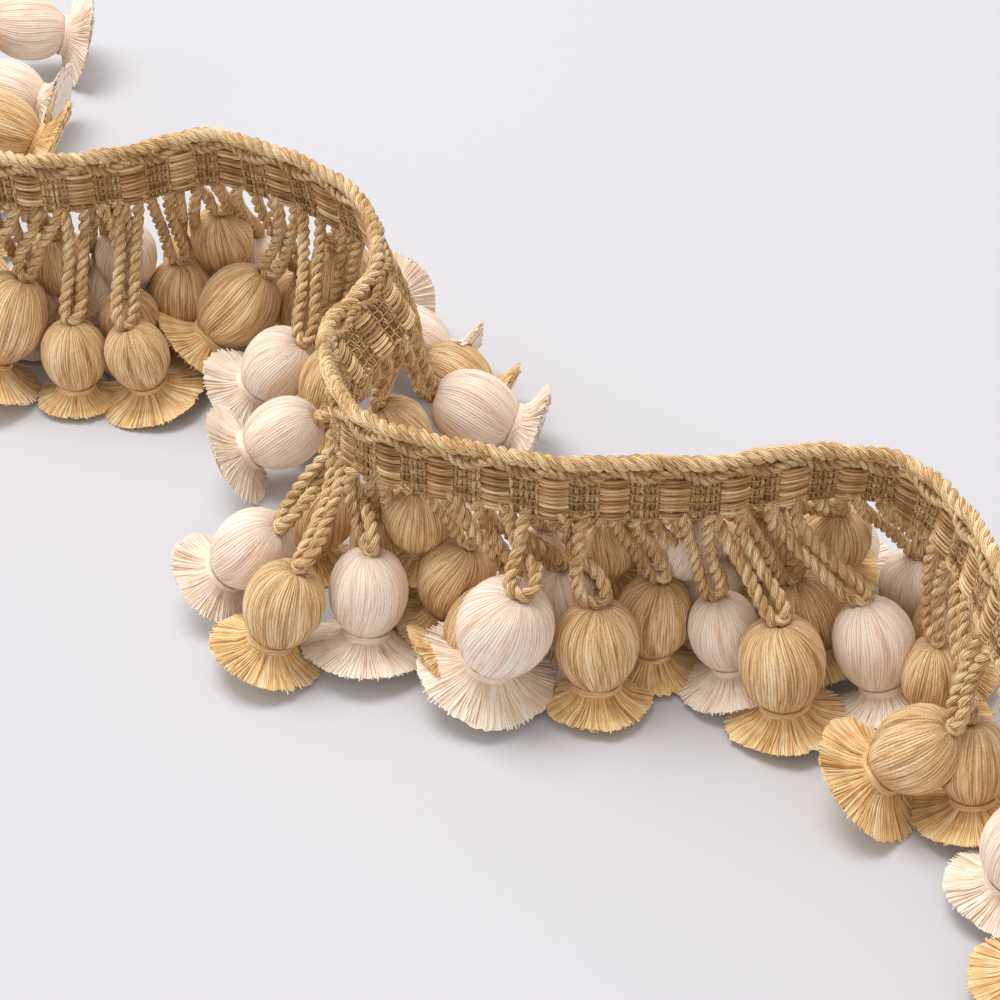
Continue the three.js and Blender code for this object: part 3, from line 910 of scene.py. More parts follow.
@dataclass
class GimpTape:
    """The woven heading: windows of long floats between blocks of two knotty ribs."""

    line: HeadingLine
    repeat: Repeat
    top: float = 2.25  # depth of its top edge under the cord's centre
    height: float = 10.3
    ground: float = 0.9  # its own thickness, under the floats and ribs
    ground_step: float = 2.0  # between its cuts across
    window: float = 5.0  # its width
    pairs: int = 5  # of floats in a window
    end_margin: float = 0.2  # of floats and binding threads from the tape's ends
    float_radius: float = 0.42
    float_gap: float = 0.96  # from one of a pair to the other, as a share of a float's width
    pairs_margin: float = 0.5  # of the height, that no pair takes up
    float_top: float = 0.55  # from the top edge to where the pairs begin
    float_out: float = 0.1  # of the floats' and ribs' centres past the ground
    float_hump: float = 0.34  # how far a float stands out at its middle
    float_sag: tuple[float, float] = (0.05, 0.4)  # the least and the most, window by window
    # the lightest float tone, 1.7, is a painted glint on the floats
    float_tones_and_glints: tuple[float, ...] = (-0.9, 0.0, 0.7, 1.7)
    float_shares: tuple[float, ...] = (0.28, 0.34, 0.24, 0.14)  # of the floats, for each tone
    rib_width: float = 2.5
    rib_yarns: int = 3
    rib_gap: float = 0.1  # from a block's middle to each rib's edge
    rib_margin: float = 0.4  # from the tape's ends
    rib_top: float = 0.25  # from the top edge
    rib_foot: float = 0.1  # from the lower edge
    rib_spare: float = 0.06  # of a rib yarn's radius past its share of the width
    rib_pitch: float = 1.8  # from one yarn to the next, in their radii
    rib_sway: float = 0.11
    rib_swell: tuple[float, float] = (-0.06, 0.14)  # under a binding thread, and between two
    binder_radius: float = 0.2
    binder_out: float = 0.22
    binder_hump: float = 0.38
    binder_top: float = 0.35  # from the top edge to the first
    binder_foot: float = 0.25  # from the lower edge, at least
    binder_room: float = 0.9  # of the height, that they don't spread over
    binder_sag: float = 0.16
    binder_tone: float = 0.4

    @property
    def pair_pitch(self) -> float:
        """From one pair of floats to the next."""
        return (self.height - self.pairs_margin) / self.pairs

    @property
    def half_rib(self) -> float:
        """From a block's middle to the middle of one of its ribs."""
        return self.rib_width / 2 + self.rib_gap

    @property
    def rib_radius(self) -> float:
        """The radius of a rib's yarn."""
        return self.rib_width / self.rib_yarns / 2 + self.rib_spare

    def build(self) -> None:
        """Makes the ground, a sheet, and the floats, ribs and binding threads on it."""
        rng = np.random.default_rng(SEED)
        ribs = [mesh for face in (1, -1) for mesh in self._ribs(face, rng)]
        floats = joined("floats", [self._floats(face, rng) for face in (1, -1)])
        fine = YarnFinish("float_yarn", HEADING_COLOURS, 5, lean=0.6, streak=2.5, relief=0.12,
                          groove_shade=0.5, contrast=1.4, fuzz=0.2, sheen=0.2).make()
        knotty = YarnFinish("rib_yarn", HEADING_COLOURS, 6, lean=7, streak=7, relief=0.18,
                            groove_shade=0.5, contrast=1.35, fuzz=0.7).make()
        pieces = [
            add_piece("gimp_floats", floats, [fine]),
            add_piece("gimp_ribs", joined("ribs", ribs), [knotty]),
        ]
        ground = add_piece("gimp_ground", self._ground(), [knotty], ["heading_tape"])
        self.height * METRE

    def _within(self, at: Points, margin: float) -> Points:
        """Keeps distances along the heading clear of its two ends."""
        return np.clip(at, margin, self.line.length - margin)

    def _ground(self) -> bpy.types.Mesh:
        """Makes the close-woven strip behind the floats and ribs.

        Returns:
            Its mesh, a closed strip with centimetres along it and the share up it as its UV map.
        """
        bm = bmesh.new()
        uv = bm.loops.layers.uv.new("UVMap")
        bmesh.ops.create_cube(bm, size=1.0)
        long_edges = [e for e in bm.edges if abs(e.verts[0].co.x - e.verts[1].co.x) > 0.5]
        bmesh.ops.subdivide_edges(
            bm, edges=long_edges, cuts=round(self.line.length / self.ground_step),
            use_grid_fill=True)
        for face in bm.faces:
            face.smooth = False
            for loop in face.loops:
                share = loop.vert.co.x + 0.5
                loop[uv].uv = (share * self.line.length / CENTIMETRE, loop.vert.co.z + 0.5)
        rows = np.array([v.co for v in bm.verts])
        moved = self.line.place(
            (rows[:, 0] + 0.5) * self.line.length,
            self.top + (0.5 - rows[:, 2]) * self.height,
            -rows[:, 1] * self.ground)
        for vert, place in zip(bm.verts, moved):
            vert.co = place
        return mesh_from(bm, "gimp_ground")

    def _floats(self, face: int, rng: np.random.Generator) -> bpy.types.Mesh:
        """Makes the long floats of every window on one face, two by two.

        Args:
            face: 1 for the front, -1 for the back.
            rng: What their unevenness is drawn from.

        Returns:
            Their mesh.
        """
        lines, tones = [], []
        share = np.linspace(-1, 1, 6)
        for middle in self.repeat.windows(self.line.length):
            sag = rng.uniform(*self.float_sag)
            for pair in range(self.pairs):
                home = (self.top + self.float_top + self.pair_pitch * (pair + 0.5)
                        + rng.normal(0, 0.05))
                for half in (-1, 1):
                    bow = (sag + rng.normal(0, 0.06)) * (1 - share**2) + rng.normal(0, 0.07) * share
                    hump = (self.float_hump + rng.uniform(-0.08, 0.14)) * (1 - share**4)
                    out = self.ground / 2 + self.float_out + hump
                    along = self._within(middle + share * self.window / 2, self.end_margin)
                    depth = home + half * self.float_radius * self.float_gap + bow
                    lines.append(self.line.place(along, depth, face * out))
                    tones.append(rng.choice(self.float_tones_and_glints, p=self.float_shares))
        return yarns("floats", lines, self.float_radius, Section.YARN, tones)

    def _ribs(self, face: int, rng: np.random.Generator) -> list[bpy.types.Mesh]:
        """Makes the knotty ribs of every block on one face, and the threads that bind them.

        Args:
            face: 1 for the front, -1 for the back.
            rng: What their unevenness is drawn from.

        Returns:
            The ribs' mesh and the threads'.
        """
        ribs, tones, threads = [], [], []
        for block in self.repeat.blocks(self.line.length):
            for side in (-1, 1):
                for i in range(self.rib_yarns):
                    strand = (i - (self.rib_yarns - 1) / 2) * self.rib_radius * self.rib_pitch
                    ribs.append(self._rib(block + side * self.half_rib + strand, face, rng))
                    tones.append(rng.normal(-0.25, 0.5))
            threads += [self._binder(block, pair, face, rng) for pair in range(self.pairs + 1)]
        return [
            yarns("ribs", ribs, self.rib_radius, Section.THREAD, tones),
            yarns("binders", threads, self.binder_radius, Section.THREAD,
                  [self.binder_tone] * len(threads)),
        ]

    def _rib(self, at: float, face: int, rng: np.random.Generator) -> Points:
        """Lays one yarn of a rib, which swells between the binding threads.

        Args:
            at: Where it runs, along the heading.
            face: 1 for the front, -1 for the back.
            rng: What its unevenness is drawn from.

        Returns:
            Its centre line, from the tape's top edge to its foot.
        """
        steps = np.arange(2 * self.pairs + 2) * self.pair_pitch / 2
        places = self._within(at + rng.normal(0, self.rib_sway, len(steps)), self.rib_margin)
        under, between = self.rib_swell
        swell = (np.where(np.arange(len(steps)) % 2, between, under)
                 + rng.normal(0, 0.06, len(steps)))
        depth = np.minimum(self.top + self.rib_top + steps,
                           self.top + self.height - self.rib_foot)
        return self.line.place(places, depth, face * (self.ground / 2 + self.float_out + swell))

    def _binder(self, block: float, pair: int, face: int, rng: np.random.Generator) -> Points:
        """Lays one binding thread over a block's two ribs.

        Args:
            block: Where the block's middle is, along the heading.
            pair: Which pair of floats it lies above.
            face: 1 for the front, -1 for the back.
            rng: What its unevenness is drawn from.

        Returns:
            Its centre line.
        """
        share = np.linspace(-1, 1, 7)
        depth = (self.top + self.binder_top + pair * (self.height - self.binder_room) / self.pairs
                 + rng.normal(0, 0.08))
        along = self._within(block + share * (2 * self.half_rib), self.end_margin)
        hump = np.abs(np.sin(share * math.pi)) ** 0.7
        out = self.ground / 2 + self.binder_out + self.binder_hump * hump
        sag = self.binder_sag * hump + rng.normal(0, 0.05, len(share))
        foot = self.top + self.height - self.binder_foot
        return self.line.place(along, np.minimum(depth + sag, foot), face * out)


# ---- Loops ---------------------------------------------------------------------------------


@dataclass
class LoopFringe:
    """One long twisted cord that is caught along the tape's foot and hangs in loops."""

    line: HeadingLine
    rows: Sequence[TasselRow]
    cord: TwistedCord = TwistedCord(ply_radius=0.74, ply_offset=0.66, pitch=4.3, spacing=0.62)
    tones: tuple[float, ...] = (0.7, 0.5)  # of its plies
    root: float = 12.3  # depth of the roots under the heading cord's centre
    root_out: float = 0.7
    fall: float = 5.0  # straight down from the root, before the cord turns to its tassel
    rise: float = 3.5  # straight out of the ball's pole
    seat_gap: float = 0.1  # from the pole to the cord's centre line
    slack: float = 0.9  # how far a loop's legs bow to a side
    spread: float = 0.2  # how much wider or narrower some loops are, as a share
    catch_up: float = 0.6  # from a root to where the cord is caught between two loops
    catch_half: float = 2.6
    catch_back: float = 0.5

    # how fast the bow across, the bow out and the width change along the heading
    bow_turn = 1.7
    bulge_turn = 2.9
    spread_turn = 3.1

    # the first leg, as shares of the way down, then how far it stands to the side and in front
    shapes = {
        LoopForm.OPEN: [(0, 2.2, 0), (0.25, 1.7, 0), (0.5, 1.45, 0), (0.75, 1.75, 0),
                        (0.92, 1.3, 0)],
        LoopForm.CROSSED: [(0, 1.6, 0.3), (0.2, 1.1, 0.9), (0.42, 0, 1.25), (0.6, -1.7, 0.5),
                           (0.8, -2.2, 0), (0.94, -1.4, 0)],
    }

    def build(self) -> None:
        """Makes the cord and adds it as one piece."""
        path = smooth_line(np.vstack([self._loop(row) for row in self.rows]), 8)
        mesh = yarns("loops", self.cord.plies_along(path), self.cord.ply_radius, Section.YARN,
                     self.tones)
        finish = YarnFinish("loop_yarn", HEADING_COLOURS, 10, lean=4, streak=4, relief=0.18,
                            groove_shade=0.4, contrast=1.3, fuzz=0.6).make()
        add_piece("looped_cord", mesh, [finish], ["loop_fringe"])

    def _loop(self, row: TasselRow) -> Points:
        """Finds the points that the cord passes through for one tassel.

        Args:
            row: The tassel.

        Returns:
            The points, first leg down, then the second up.
        """
        top, along, down, front = (rows[0] for rows in self.line.axes(np.array([row.at])))
        centre, away = np.array(row.centre), -np.array(row.skirt_way)
        side = 1.0 if np.dot(centre - top, front) > 0 else -1.0
        root = top + down * self.root + front * side * self.root_out
        seat = centre + away * (BallTassel.pole * row.size / BallTassel.radius + self.seat_gap)
        elbow, neck = root + down * self.fall, seat + away * self.rise
        bow = self.slack * math.sin(self.bow_turn * row.at)
        bulge = self.slack * math.sin(self.bulge_turn * row.at)

        def middle(share: float) -> tuple[Points, Points, Points]:
            """Follows the loop's middle line.

            Args:
                share: How far along it, from the root to the seat.

            Returns:
                The place, the way across the loop and the way out of it.
            """
            rest = 1 - share
            place = (rest**3 * root + 3 * rest**2 * share * elbow + 3 * rest * share**2 * neck
                     + share**3 * seat)
            way = unit(rest**2 * (elbow - root) + 2 * rest * share * (neck - elbow)
                       + share**2 * (seat - neck))
            thick = unit(np.cross(along, way)) * side
            return place, unit(along - way * np.dot(along, way)), thick

        legs = []
        for sign in (-1, 1):
            leg = []
            for share, wide, proud in self.shapes[row.loop]:
                place, across, thick = middle(share)
                swing = math.sin(math.pi * share)
                wide *= 1 + self.spread * swing * math.sin(self.spread_turn * row.at + sign)
                leg.append(place + across * (sign * wide + bow * swing)
                           - thick * (sign * proud - bulge * swing))
            legs.append(leg)
        catch = [root - down * self.catch_up + along * s * self.catch_half
                 - front * side * self.catch_back for s in (-1, 1)]
        return np.array([catch[0], *legs[0], seat, *reversed(legs[1]), catch[1]])


# ---- Tassels -------------------------------------------------------------------------------


@dataclass(frozen=True)
class SkirtLayer:
    """One layer of a skirt's cut yarns: its packed web, and the yarns that lie on it."""

    profile: tuple[tuple[float, float], ...]  # radius and height, from the tie to the cut edge
    columns: int  # of the web
    strands: int
    begins: float  # where the loose yarns start, as a share of the way out
    steps: int  # pieces that each is made of


class Ripples:
    """Waves round a ball, each of its own height, start and slant."""

    def __init__(self, counts: Sequence[int], slant: float, rng: np.random.Generator) -> None:
        """Draws the waves.

        Args:
            counts: How many times each wave goes up and down round the ball.
            slant: How far the waves may turn on the way down, in radians of their own.
            rng: What they are drawn from.
        """
        self._waves = [(k, rng.uniform(0.4, 1), rng.uniform(0, 7), rng.uniform(-slant, slant))
                       for k in counts]

    def height(self, angle: Points, down: Points) -> Points:
        """How high the waves stand together, given the angle and the share of the way down."""
        return sum(a * np.sin(k * angle + b + c * down) for k, a, b, c in self._waves)


@dataclass
class BallTassel:
    """A ball of fine yarn, a neck tie of the same yarn and a flared skirt of cut yarns."""

    number: int
    row: TasselRow
    others: Sequence[TasselRow]
    ball_rows: int = 13
    columns: int = 64
    end_columns: int = 48
    tie_turns: int = 5
    tie_radius: float = 0.3
    strand_radius: float = 0.21

    # a tassel with a ball of this radius is drawn, then scaled to its row
    radius = 7.5
    pole = 8.3
    neck = 4.4
    brim = 10.3
    ball_profile = [(0.0, 7.3), (0.9, 7.8), (2.2, 8.15), (3.8, 7.7), (5.5, 6.4), (6.85, 4.4),
                    (7.65, 1.9), (7.8, -0.7), (7.4, -3.3), (6.5, -5.6), (5.4, -7.2), (4.4, -8.1),
                    (4.0, -8.6)]
    layers = (
        SkirtLayer(((4.2, -8.2), (4.3, -10.0), (5.3, -10.65), (7.0, -11.35), (8.8, -12.0),
                    (10.2, -12.6)), 120, 150, 0.14, 3),
        SkirtLayer(((7.0, -12.0), (8.4, -12.6), (9.6, -13.0)), 84, 76, 0.5, 1),
        SkirtLayer(((6.2, -12.5), (7.4, -13.1), (8.5, -13.6)), 72, 52, 0.5, 1),
    )
    # the cut ends, from under the first layer's edge to the middle
    end_profile = [(9.9, -12.65), (9.3, -12.9), (8.1, -13.5), (7.1, -13.75), (4.5, -13.1),
                   (0.0, -12.7)]
    parts = ("ball", "tie", "end", "web", "strand")

    # the ball's bundles and broad swells, and how high they stand as shares of its radius
    bundle_counts = (9, 13, 17, 20, 23)
    bundle_height = 0.0026
    bundle_height_at_pole = 0.006  # more than that
    swell_counts = (2, 3, 4, 6)
    swell_height = 0.011

    # the parting that runs down from the pole, in radians and as a share of the ball's radius
    parting_width = 0.1
    parting_depth = (0.02, 0.10)
    parting_begins = 0.05  # of the way down

    # the tie's line
    tie_points = 14  # to a turn
    tie_top = -8.5
    tie_height = 1.65
    tie_ring = 4.55
    tie_tone = 0.4

    # the waves of a skirt's edge
    edge_waves = 5
    edge_wave = 0.3
    droop_waves = 3
    droop_wave = 0.25

    # the clumps that the loose yarns draw into
    clump_counts = (7, 11, 17)
    clump_pull = 0.02
    strand_shade_fade = 0.9  # how much lighter their ends are than their roots, whose darkness near the tie is painted shade
    strand_thinning = 0.75
    strand_lift = 0.03  # off the web
    web_shade_tones = (-0.9, 0.7)  # painted shade at the tie, lighter at the cut edge
    end_tones = (0.8, 0.8)

    # where another ball presses this tassel: how far out of that ball, as drawn, it stays
    press_radius = 7.9
    press_gap = 0.2

    # what lies deeper in that ball than the first comes out, over the second, on its own side
    deep_from = 0.8
    deep_span = 2.0
    deep_turn = 0.85  # how nearly straight towards that side

    # how far off the surface it stays, and how much height what is pressed down there keeps
    floor_gap = 0.12
    floor_give = 0.25

    def build(self, finishes: dict[str, bpy.types.Material]) -> None:
        """Makes the tassel and adds it as one piece.

        Args:
            finishes: Each part's material, by part name.
        """
        add_piece(f"ball_tassel_{self.number:02d}", self.mesh(),
                  [finishes[part] for part in self.parts],
                  [f"tassel_{self.number:02d}"])

    def mesh(self) -> bpy.types.Mesh:
        """Makes the tassel's mesh.

        Returns:
            The mesh, in its place, with each part's number in `parts` as its material number.
        """
        rng = np.random.default_rng(SEED + self.number)
        webs = [self._web(layer, rng) for layer in self.layers]
        end = self._spun(self._flared(self.end_profile), 0, self.end_columns, tones=self.end_tones)
        skirt = [self._strands(layer, rng) for layer in self.layers]
        mesh = joined("tassel", [self._ball(rng), self._tie(rng), end, *webs, *skirt],
                      [0, 1, 2, *[3] * len(webs), *[4] * len(skirt)])
        self._set_down(mesh, rng)
        return mesh

    def _flared(self, profile: Sequence[tuple[float, float]]) -> list[tuple[float, float]]:
        """A profile of the skirt, spread as far as this tassel's is."""
        spread = (self.brim * self.row.flare - self.neck) / (self.brim - self.neck)
        return [(r + max(r - self.neck, 0) * (spread - 1), z) for r, z in profile]

    def _spun(self, profile: Sequence[tuple[float, float]], rows: int, columns: int,
              shape: Callable[[Points, Points], Points] | None = None,
              tones: tuple[float, float] = (0.0, 0.0)) -> bpy.types.Mesh:
        """Spins a profile about the tassel's axis.

        Args:
            profile: Radius and height of each point, from the top down.
            rows: How many rows to make of it, or 0 to keep its own points.
            columns: How many steps round.
            shape: Moves the vertices, given their places and how far down the profile they are
                as a share.
            tones: How light it is at the profile's start and end.

        Returns:
            The mesh, with centimetres down it and the share round it as its UV map.
        """
        flat = np.array([(r, 0.0, z) for r, z in profile])
        if rows:
            flat = smooth_line(flat, 8)
            flat = evenly_spaced(flat, lengths_along(flat)[-1] / rows)
            flat[:, 0] = np.maximum(flat[:, 0], 0.0)
        bm = bmesh.new()
        uv = bm.loops.layers.uv.new("UVMap")
        far = bm.verts.layers.float.new("far")
        tone = bm.verts.layers.float.new("tone")
        verts = [bm.verts.new(place) for place in flat]
        long = lengths_along(flat)
        for vert, length in zip(verts, long):
            vert[far] = length
            vert[tone] = tones[0] + (tones[1] - tones[0]) * length / long[-1]
        edges = [bm.edges.new(pair) for pair in zip(verts, verts[1:])]
        bmesh.ops.spin(bm, geom=verts + edges, cent=(0, 0, 0), axis=(0, 0, 1), dvec=(0, 0, 0),
                       angle=2 * math.pi, steps=columns, use_merge=True, use_duplicate=False)
        bmesh.ops.remove_doubles(bm, verts=bm.verts, dist=1e-4)
        bmesh.ops.recalc_face_normals(bm, faces=bm.faces)
        for face in bm.faces:
            middle = face.calc_center_median()
            home = math.atan2(middle.y, middle.x)
            for loop in face.loops:
                place = loop.vert.co
                turn = math.atan2(place.y, place.x) - home if place.xy.length > 1e-3 else 0.0
                turn = (turn + math.pi) % (2 * math.pi) - math.pi
                loop[uv].uv = (loop.vert[far] / CENTIMETRE, (home + turn) / (2 * math.pi))
        if shape is not None:
            moved = shape(np.array([v.co for v in bm.verts]),
                          np.array([v[far] for v in bm.verts]) / long[-1])
            for vert, place in zip(bm.verts, moved):
                vert.co = place
        bm.verts.layers.float.remove(bm.verts.layers.float["far"])
        return mesh_from(bm, "spun")

    def _ball(self, rng: np.random.Generator) -> bpy.types.Mesh:
        """Makes the wound ball, from the dimple at its pole to its neck.

        Args:
            rng: What its unevenness is drawn from.

        Returns:
            Its mesh.
        """
        bundles = Ripples(self.bundle_counts, 1.5, rng)
        swells = Ripples(self.swell_counts, 2, rng)
        parting, depth = rng.uniform(-math.pi, math.pi), rng.uniform(*self.parting_depth)
        lean, bow = rng.uniform(-0.55, 0.55), rng.uniform(-0.3, 0.3)

        def wind(rows: Points, down: Points) -> Points:
            """Gives the ball its bundles of yarn, its parting from the pole and its lean.

            Args:
                rows: Places on the plain ball.
                down: How far down the ball each is, as a share.

            Returns:
                The places moved.
            """
            angle = np.arctan2(rows[:, 1], rows[:, 0])
            body = np.sin(np.clip(down, 0, 1) * math.pi) ** 0.5
            ridge = self.bundle_height + self.bundle_height_at_pole * (1 - down) ** 3
            scale = (1 + body * ridge * bundles.height(angle, down)
                     + body * self.swell_height * swells.height(angle, down))
            gap = (angle - parting + math.pi) % (2 * math.pi) - math.pi
            fading = np.clip(1.4 - down * 2.6, 0, 1) * (down > self.parting_begins)
            scale -= depth * np.exp(-(gap / self.parting_width) ** 2) * fading
            turned = angle + lean * down + bow * np.sin(math.pi * down)
            return about_axis(np.hypot(rows[:, 0], rows[:, 1]) * scale, turned, rows[:, 2])

        return self._spun(self.ball_profile, self.ball_rows, self.columns, wind)

    def _tie(self, rng: np.random.Generator) -> bpy.types.Mesh:
        """Makes the turns of yarn round the neck.

        Args:
            rng: What their start is drawn from.

        Returns:
            Their mesh.
        """
        turn = np.linspace(0, 2 * math.pi * self.tie_turns, self.tie_points * self.tie_turns)
        start = rng.uniform(0, 7)
        height = (self.tie_top - self.tie_height * turn / turn[-1]
                  + 0.1 * np.sin(turn * 0.9 + start))
        ring = self.tie_ring + 0.08 * np.sin(turn * 2.3 + start)
        line = about_axis(ring, turn + start, height)
        return yarns("tie", [line], self.tie_radius, Section.THREAD, [self.tie_tone])

    def _web(self, layer: SkirtLayer, rng: np.random.Generator) -> bpy.types.Mesh:
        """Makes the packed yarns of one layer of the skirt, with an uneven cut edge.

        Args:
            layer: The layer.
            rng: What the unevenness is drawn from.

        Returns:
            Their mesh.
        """
        reach, start = rng.normal(0, 0.2, layer.columns), rng.uniform(0, 7)
        droop = rng.normal(0, 0.09, layer.columns)

        def fray(rows: Points, down: Points) -> Points:
            """Makes the yarns' lengths uneven.

            Args:
                rows: Places on the plain layer.
                down: How far out along the yarns each is, as a share.

            Returns:
                The places moved.
            """
            angle = np.arctan2(rows[:, 1], rows[:, 0])
            column = np.round(angle / (2 * math.pi) * layer.columns).astype(int) % layer.columns
            longer = (reach[column] - 0.05
                      + self.edge_wave * np.sin(self.edge_waves * angle + start))
            return about_axis(np.hypot(rows[:, 0], rows[:, 1]) + longer * down**3, angle,
                              rows[:, 2] + droop[column] * down)

        return self._spun(self._flared(layer.profile), 0, layer.columns, fray, self.web_shade_tones)

    def _strands(self, layer: SkirtLayer, rng: np.random.Generator) -> bpy.types.Mesh:
        """Makes the loose yarns of one layer of the skirt.

        Args:
            layer: The layer.
            rng: What their unevenness is drawn from.

        Returns:
            Their mesh.
        """
        profile = np.array(self._flared(layer.profile))
        long = lengths_along(np.column_stack([profile, np.zeros(len(profile))]))
        share = np.linspace(layer.begins, 1, layer.steps + 1)
        out = (share - layer.begins) / (1 - layer.begins)
        lines = []
        clump = rng.uniform(0, 7, len(self.clump_counts))
        for i in range(layer.strands):
            angle = 2 * math.pi * (i + rng.normal(0, 0.3)) / layer.strands
            pull = sum(self.clump_pull * math.sin(k * angle + c)
                       for k, c in zip(self.clump_counts, clump))
            ring, height = between_rows(profile, long, share * long[-1]).T
            height = height + self.strand_lift + rng.normal(0, 0.04)
            longer = (rng.normal(0.0, 0.2)
                      + self.edge_wave * math.sin(self.edge_waves * angle + clump[0]))
            lower = (rng.normal(0, 0.12)
                     + self.droop_wave * math.sin(self.droop_waves * angle + clump[1]))
            curl = rng.normal(0, 0.012, len(share)) + rng.normal(0, 0.022)
            around = angle + pull * out**1.5 + curl * out
            lines.append(about_axis(ring + longer * out**2, around, height + lower * out**2))
        tones = rng.normal(0.5, 0.9, len(lines))
        return yarns("skirt", lines, self.strand_radius, Section.THREAD, tones,
                     self.strand_shade_fade, self.strand_thinning)

    def _set_down(self, mesh: bpy.types.Mesh, rng: np.random.Generator) -> None:
        """Moves the tassel to its place, pressed by those in front and by the surface.

        Args:
            mesh: The tassel, drawn upright round the layout's origin.
            rng: What its turn about its own axis is drawn from.
        """
        turn = Vector((0, 0, -1)).rotation_difference(self.row.skirt_way).to_matrix().to_4x4()
        roll = Matrix.Rotation(rng.uniform(0, 2 * math.pi), 4, "Z")
        size = Matrix.Scale(self.row.size / self.radius, 4)
        mesh.transform(Matrix.Translation(self.row.centre) @ turn @ size @ roll)
        rows = coordinates(mesh)
        for other in self.others:
            if (other.front, other.at) <= (self.row.front, self.row.at):
                continue
            clear = other.size * self.press_radius / self.radius + self.press_gap
            way = rows - np.array(other.centre)
            far = np.linalg.norm(way, axis=1, keepdims=True)
            deep = self.deep_turn * np.clip((clear - far - self.deep_from) / self.deep_span, 0, 1)
            home = unit(np.array([self.row.centre - other.centre]))
            aside = unit(unit(way) * (1 - deep) + home * deep)
            rows = np.where(far < clear, np.array(other.centre) + aside * clear, rows)
        under = rows[:, 2] < self.floor_gap
        rows[under, 2] = (self.floor_gap
                          + self.floor_give * np.exp(rows[under, 2] - self.floor_gap))
        mesh.vertices.foreach_set("co", rows.astype(np.float32).ravel())
        mesh.update()


@dataclass
class PlainTassel(BallTassel):
    """A tassel that hardly shows, with the same form and fewer yarns."""

    ball_rows: int = 8
    columns: int = 36
    end_columns: int = 32
    tie_turns: int = 3
    strand_radius: float = 0.24

    layers = (SkirtLayer(BallTassel.layers[0].profile, 48, 64, 0.3, 2),)


@dataclass
class FurtherTassels:
    """The tassels close behind the heading, joined into one piece for each yarn."""

    rows: Sequence[TasselRow]
    others: Sequence[TasselRow]
    first_number: int = 100

    def build(self, finishes: dict[Yarn, dict[str, bpy.types.Material]]) -> None:
        """Makes both pieces.

        Args:
            finishes: Each part's material, by yarn and part name.
        """
        for yarn, shade in ((Yarn.GOLD, "golden"), (Yarn.CREAM, "pale")):
            tassels = [
                PlainTassel(number, row, neighbours(row, self.others)).mesh()
                for number, row in enumerate(self.rows, self.first_number) if row.yarn is yarn
            ]
            add_piece(f"further_{shade}_tassels", joined("further", tassels),
                      [finishes[yarn][part] for part in PlainTassel.parts])


def neighbours(row: TasselRow, others: Sequence[TasselRow]) -> list[TasselRow]:
    """The other tassels that are near enough to touch this one."""
    return [o for o in others if o is not row and (o.centre - row.centre).length < TASSEL_REACH]


def tassel_finishes() -> dict[Yarn, dict[str, bpy.types.Material]]:
    """Builds the materials of a tassel's parts.

    Returns:
        The materials, by yarn and part name.
    """
    made = {}
    for yarn in Yarn:
        name, whole, cut = yarn.name.lower(), COLOURS[yarn], CUT_COLOURS[yarn]
        finishes = {
            "ball": YarnFinish(f"{name}_ball", whole, 78, wander=1.6, streak=1.4, relief=0.12,
                               groove_shade=0.55, contrast=1.45, bundle=0.8, fuzz=0.5),
            "tie": YarnFinish(f"{name}_tie", whole, 4, lean=2, relief=0),
            "strand": YarnFinish(f"{name}_strand", cut, 2, lean=1, streak=3, relief=0, groove_shade=0.1),
            "web": YarnFinish(f"{name}_web", cut, 150, wander=3, groove_shade=0.45),
            "end": YarnFinish(f"{name}_end", cut, 110, wander=4, streak=12, relief=0.08,
                              groove_shade=0.35, contrast=1.3),
        }
        made[yarn] = {part: finish.make() for part, finish in finishes.items()}
    return made


# ---- Studio --------------------------------------------------------------------------------


@dataclass(frozen=True)
class Panel:
    """A soft square light that faces the trim."""

    name: str
    place: tuple[float, float, float]
    size: float
    power: float


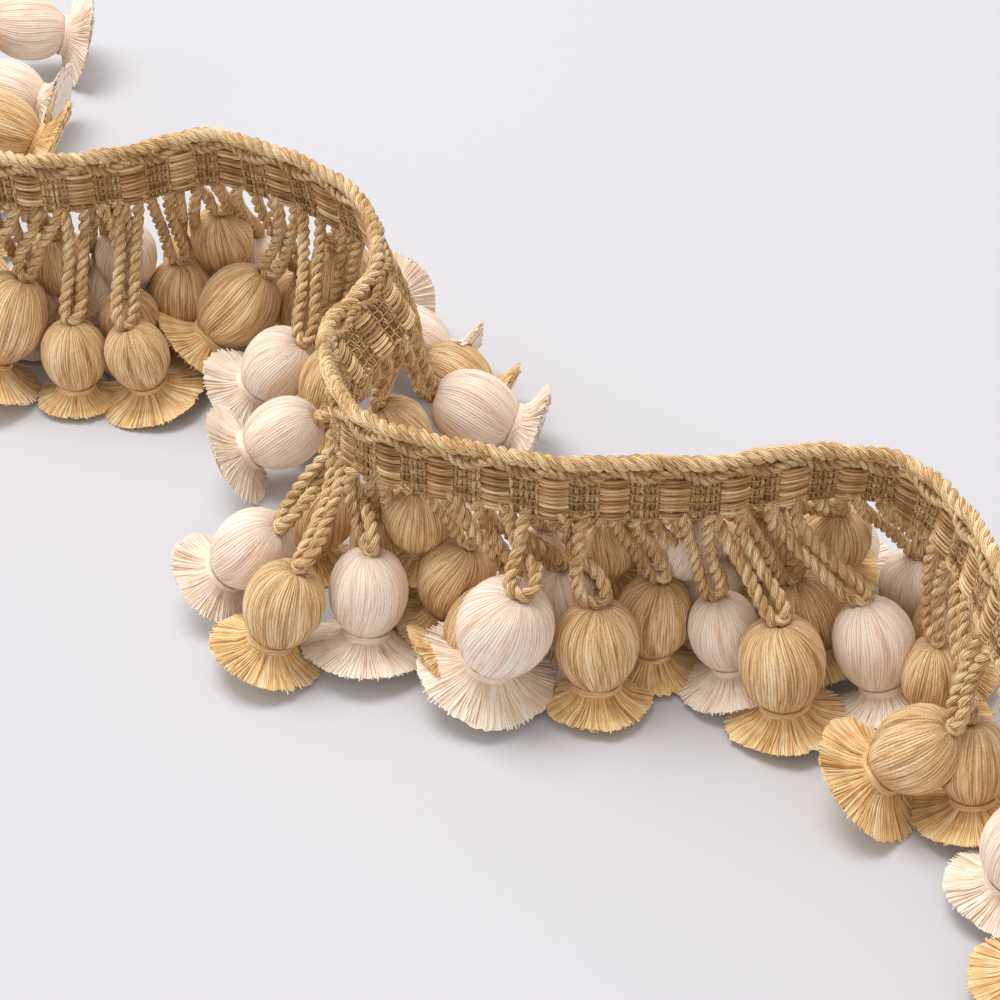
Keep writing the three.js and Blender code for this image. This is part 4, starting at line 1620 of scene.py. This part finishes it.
@dataclass
class Studio:
    """The pale table, the soft light and the camera."""

    target: tuple[float, float, float] = (0.02758, -0.02507, 0.0)
    distance: float = 0.52
    elevation: float = 38.0
    lens: float = 93.6
    sensor: float = 36.0
    nearest: float = 0.01  # that the camera sees
    table_size: float = 3.0
    panels: tuple[Panel, ...] = (
        Panel("sky_panel", (-0.3, 0.18, 1.3), 0.7, 11.9),
        Panel("side_panel", (-1.3, 0.2, 0.7), 0.8, 3.0),
    )
    room_colour: Colour = (1.0, 0.96, 0.94)
    room_strength: float = 0.72

    def build(self) -> None:
        """Makes the table, the camera and the lights."""
        self._table()
        self._camera()
        for panel in self.panels:
            self._light(panel)
        world = bpy.data.worlds.new("room")
        world.use_nodes = True
        back = world.node_tree.nodes["Background"]
        back.inputs["Color"].default_value = (*self.room_colour, 1)
        back.inputs["Strength"].default_value = self.room_strength
        bpy.context.scene.world = world
        bpy.context.scene.view_settings.view_transform = "Standard"

    def _table(self) -> None:
        """Makes the surface that the trim stands on."""
        bm = bmesh.new()
        bmesh.ops.create_grid(bm, x_segments=2, y_segments=2, size=self.table_size)
        mesh = mesh_from(bm, "table")
        mesh.materials.append(TableFinish().make())
        linked("table", mesh)

    def _camera(self) -> None:
        """Makes the camera, which looks down at the trim from its near side."""
        data = bpy.data.cameras.new("camera")
        data.lens, data.sensor_width, data.clip_start = self.lens, self.sensor, self.nearest
        camera = linked("camera", data)
        rise = math.radians(self.elevation)
        back = Vector((0, -math.cos(rise), math.sin(rise)))
        camera.location = Vector(self.target) + back * self.distance
        camera.rotation_euler = (-back).to_track_quat("-Z", "Y").to_euler()
        bpy.context.scene.camera = camera

    def _light(self, panel: Panel) -> None:
        """Makes a light.

        Args:
            panel: The light's size, power and place.
        """
        data = bpy.data.lights.new(panel.name, "AREA")
        data.size, data.energy = panel.size, panel.power
        light = linked(panel.name, data)
        light.location = panel.place
        facing = Vector(self.target) - light.location
        light.rotation_euler = facing.to_track_quat("-Z", "Y").to_euler()


def main() -> None:
    """Builds the studio, then the trim from its heading down to its tassels."""
    logging.basicConfig(level=logging.INFO, format="%(message)s")
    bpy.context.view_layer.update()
    Studio().build()
    line = HeadingLine(ROUTE)
    HeadingCord(line, Repeat()).build()
    GimpTape(line, Repeat()).build()
    LoopFringe(line, sorted([*TASSELS, *FURTHER_TASSELS], key=lambda row: row.at)).build()
    finishes = tassel_finishes()
    for number, row in enumerate(TASSELS, 1):
        BallTassel(number, row, neighbours(row, TASSELS)).build(finishes[row.yarn])
    FurtherTassels(FURTHER_TASSELS, TASSELS).build(finishes)


if __name__ == "__main__":
    main()
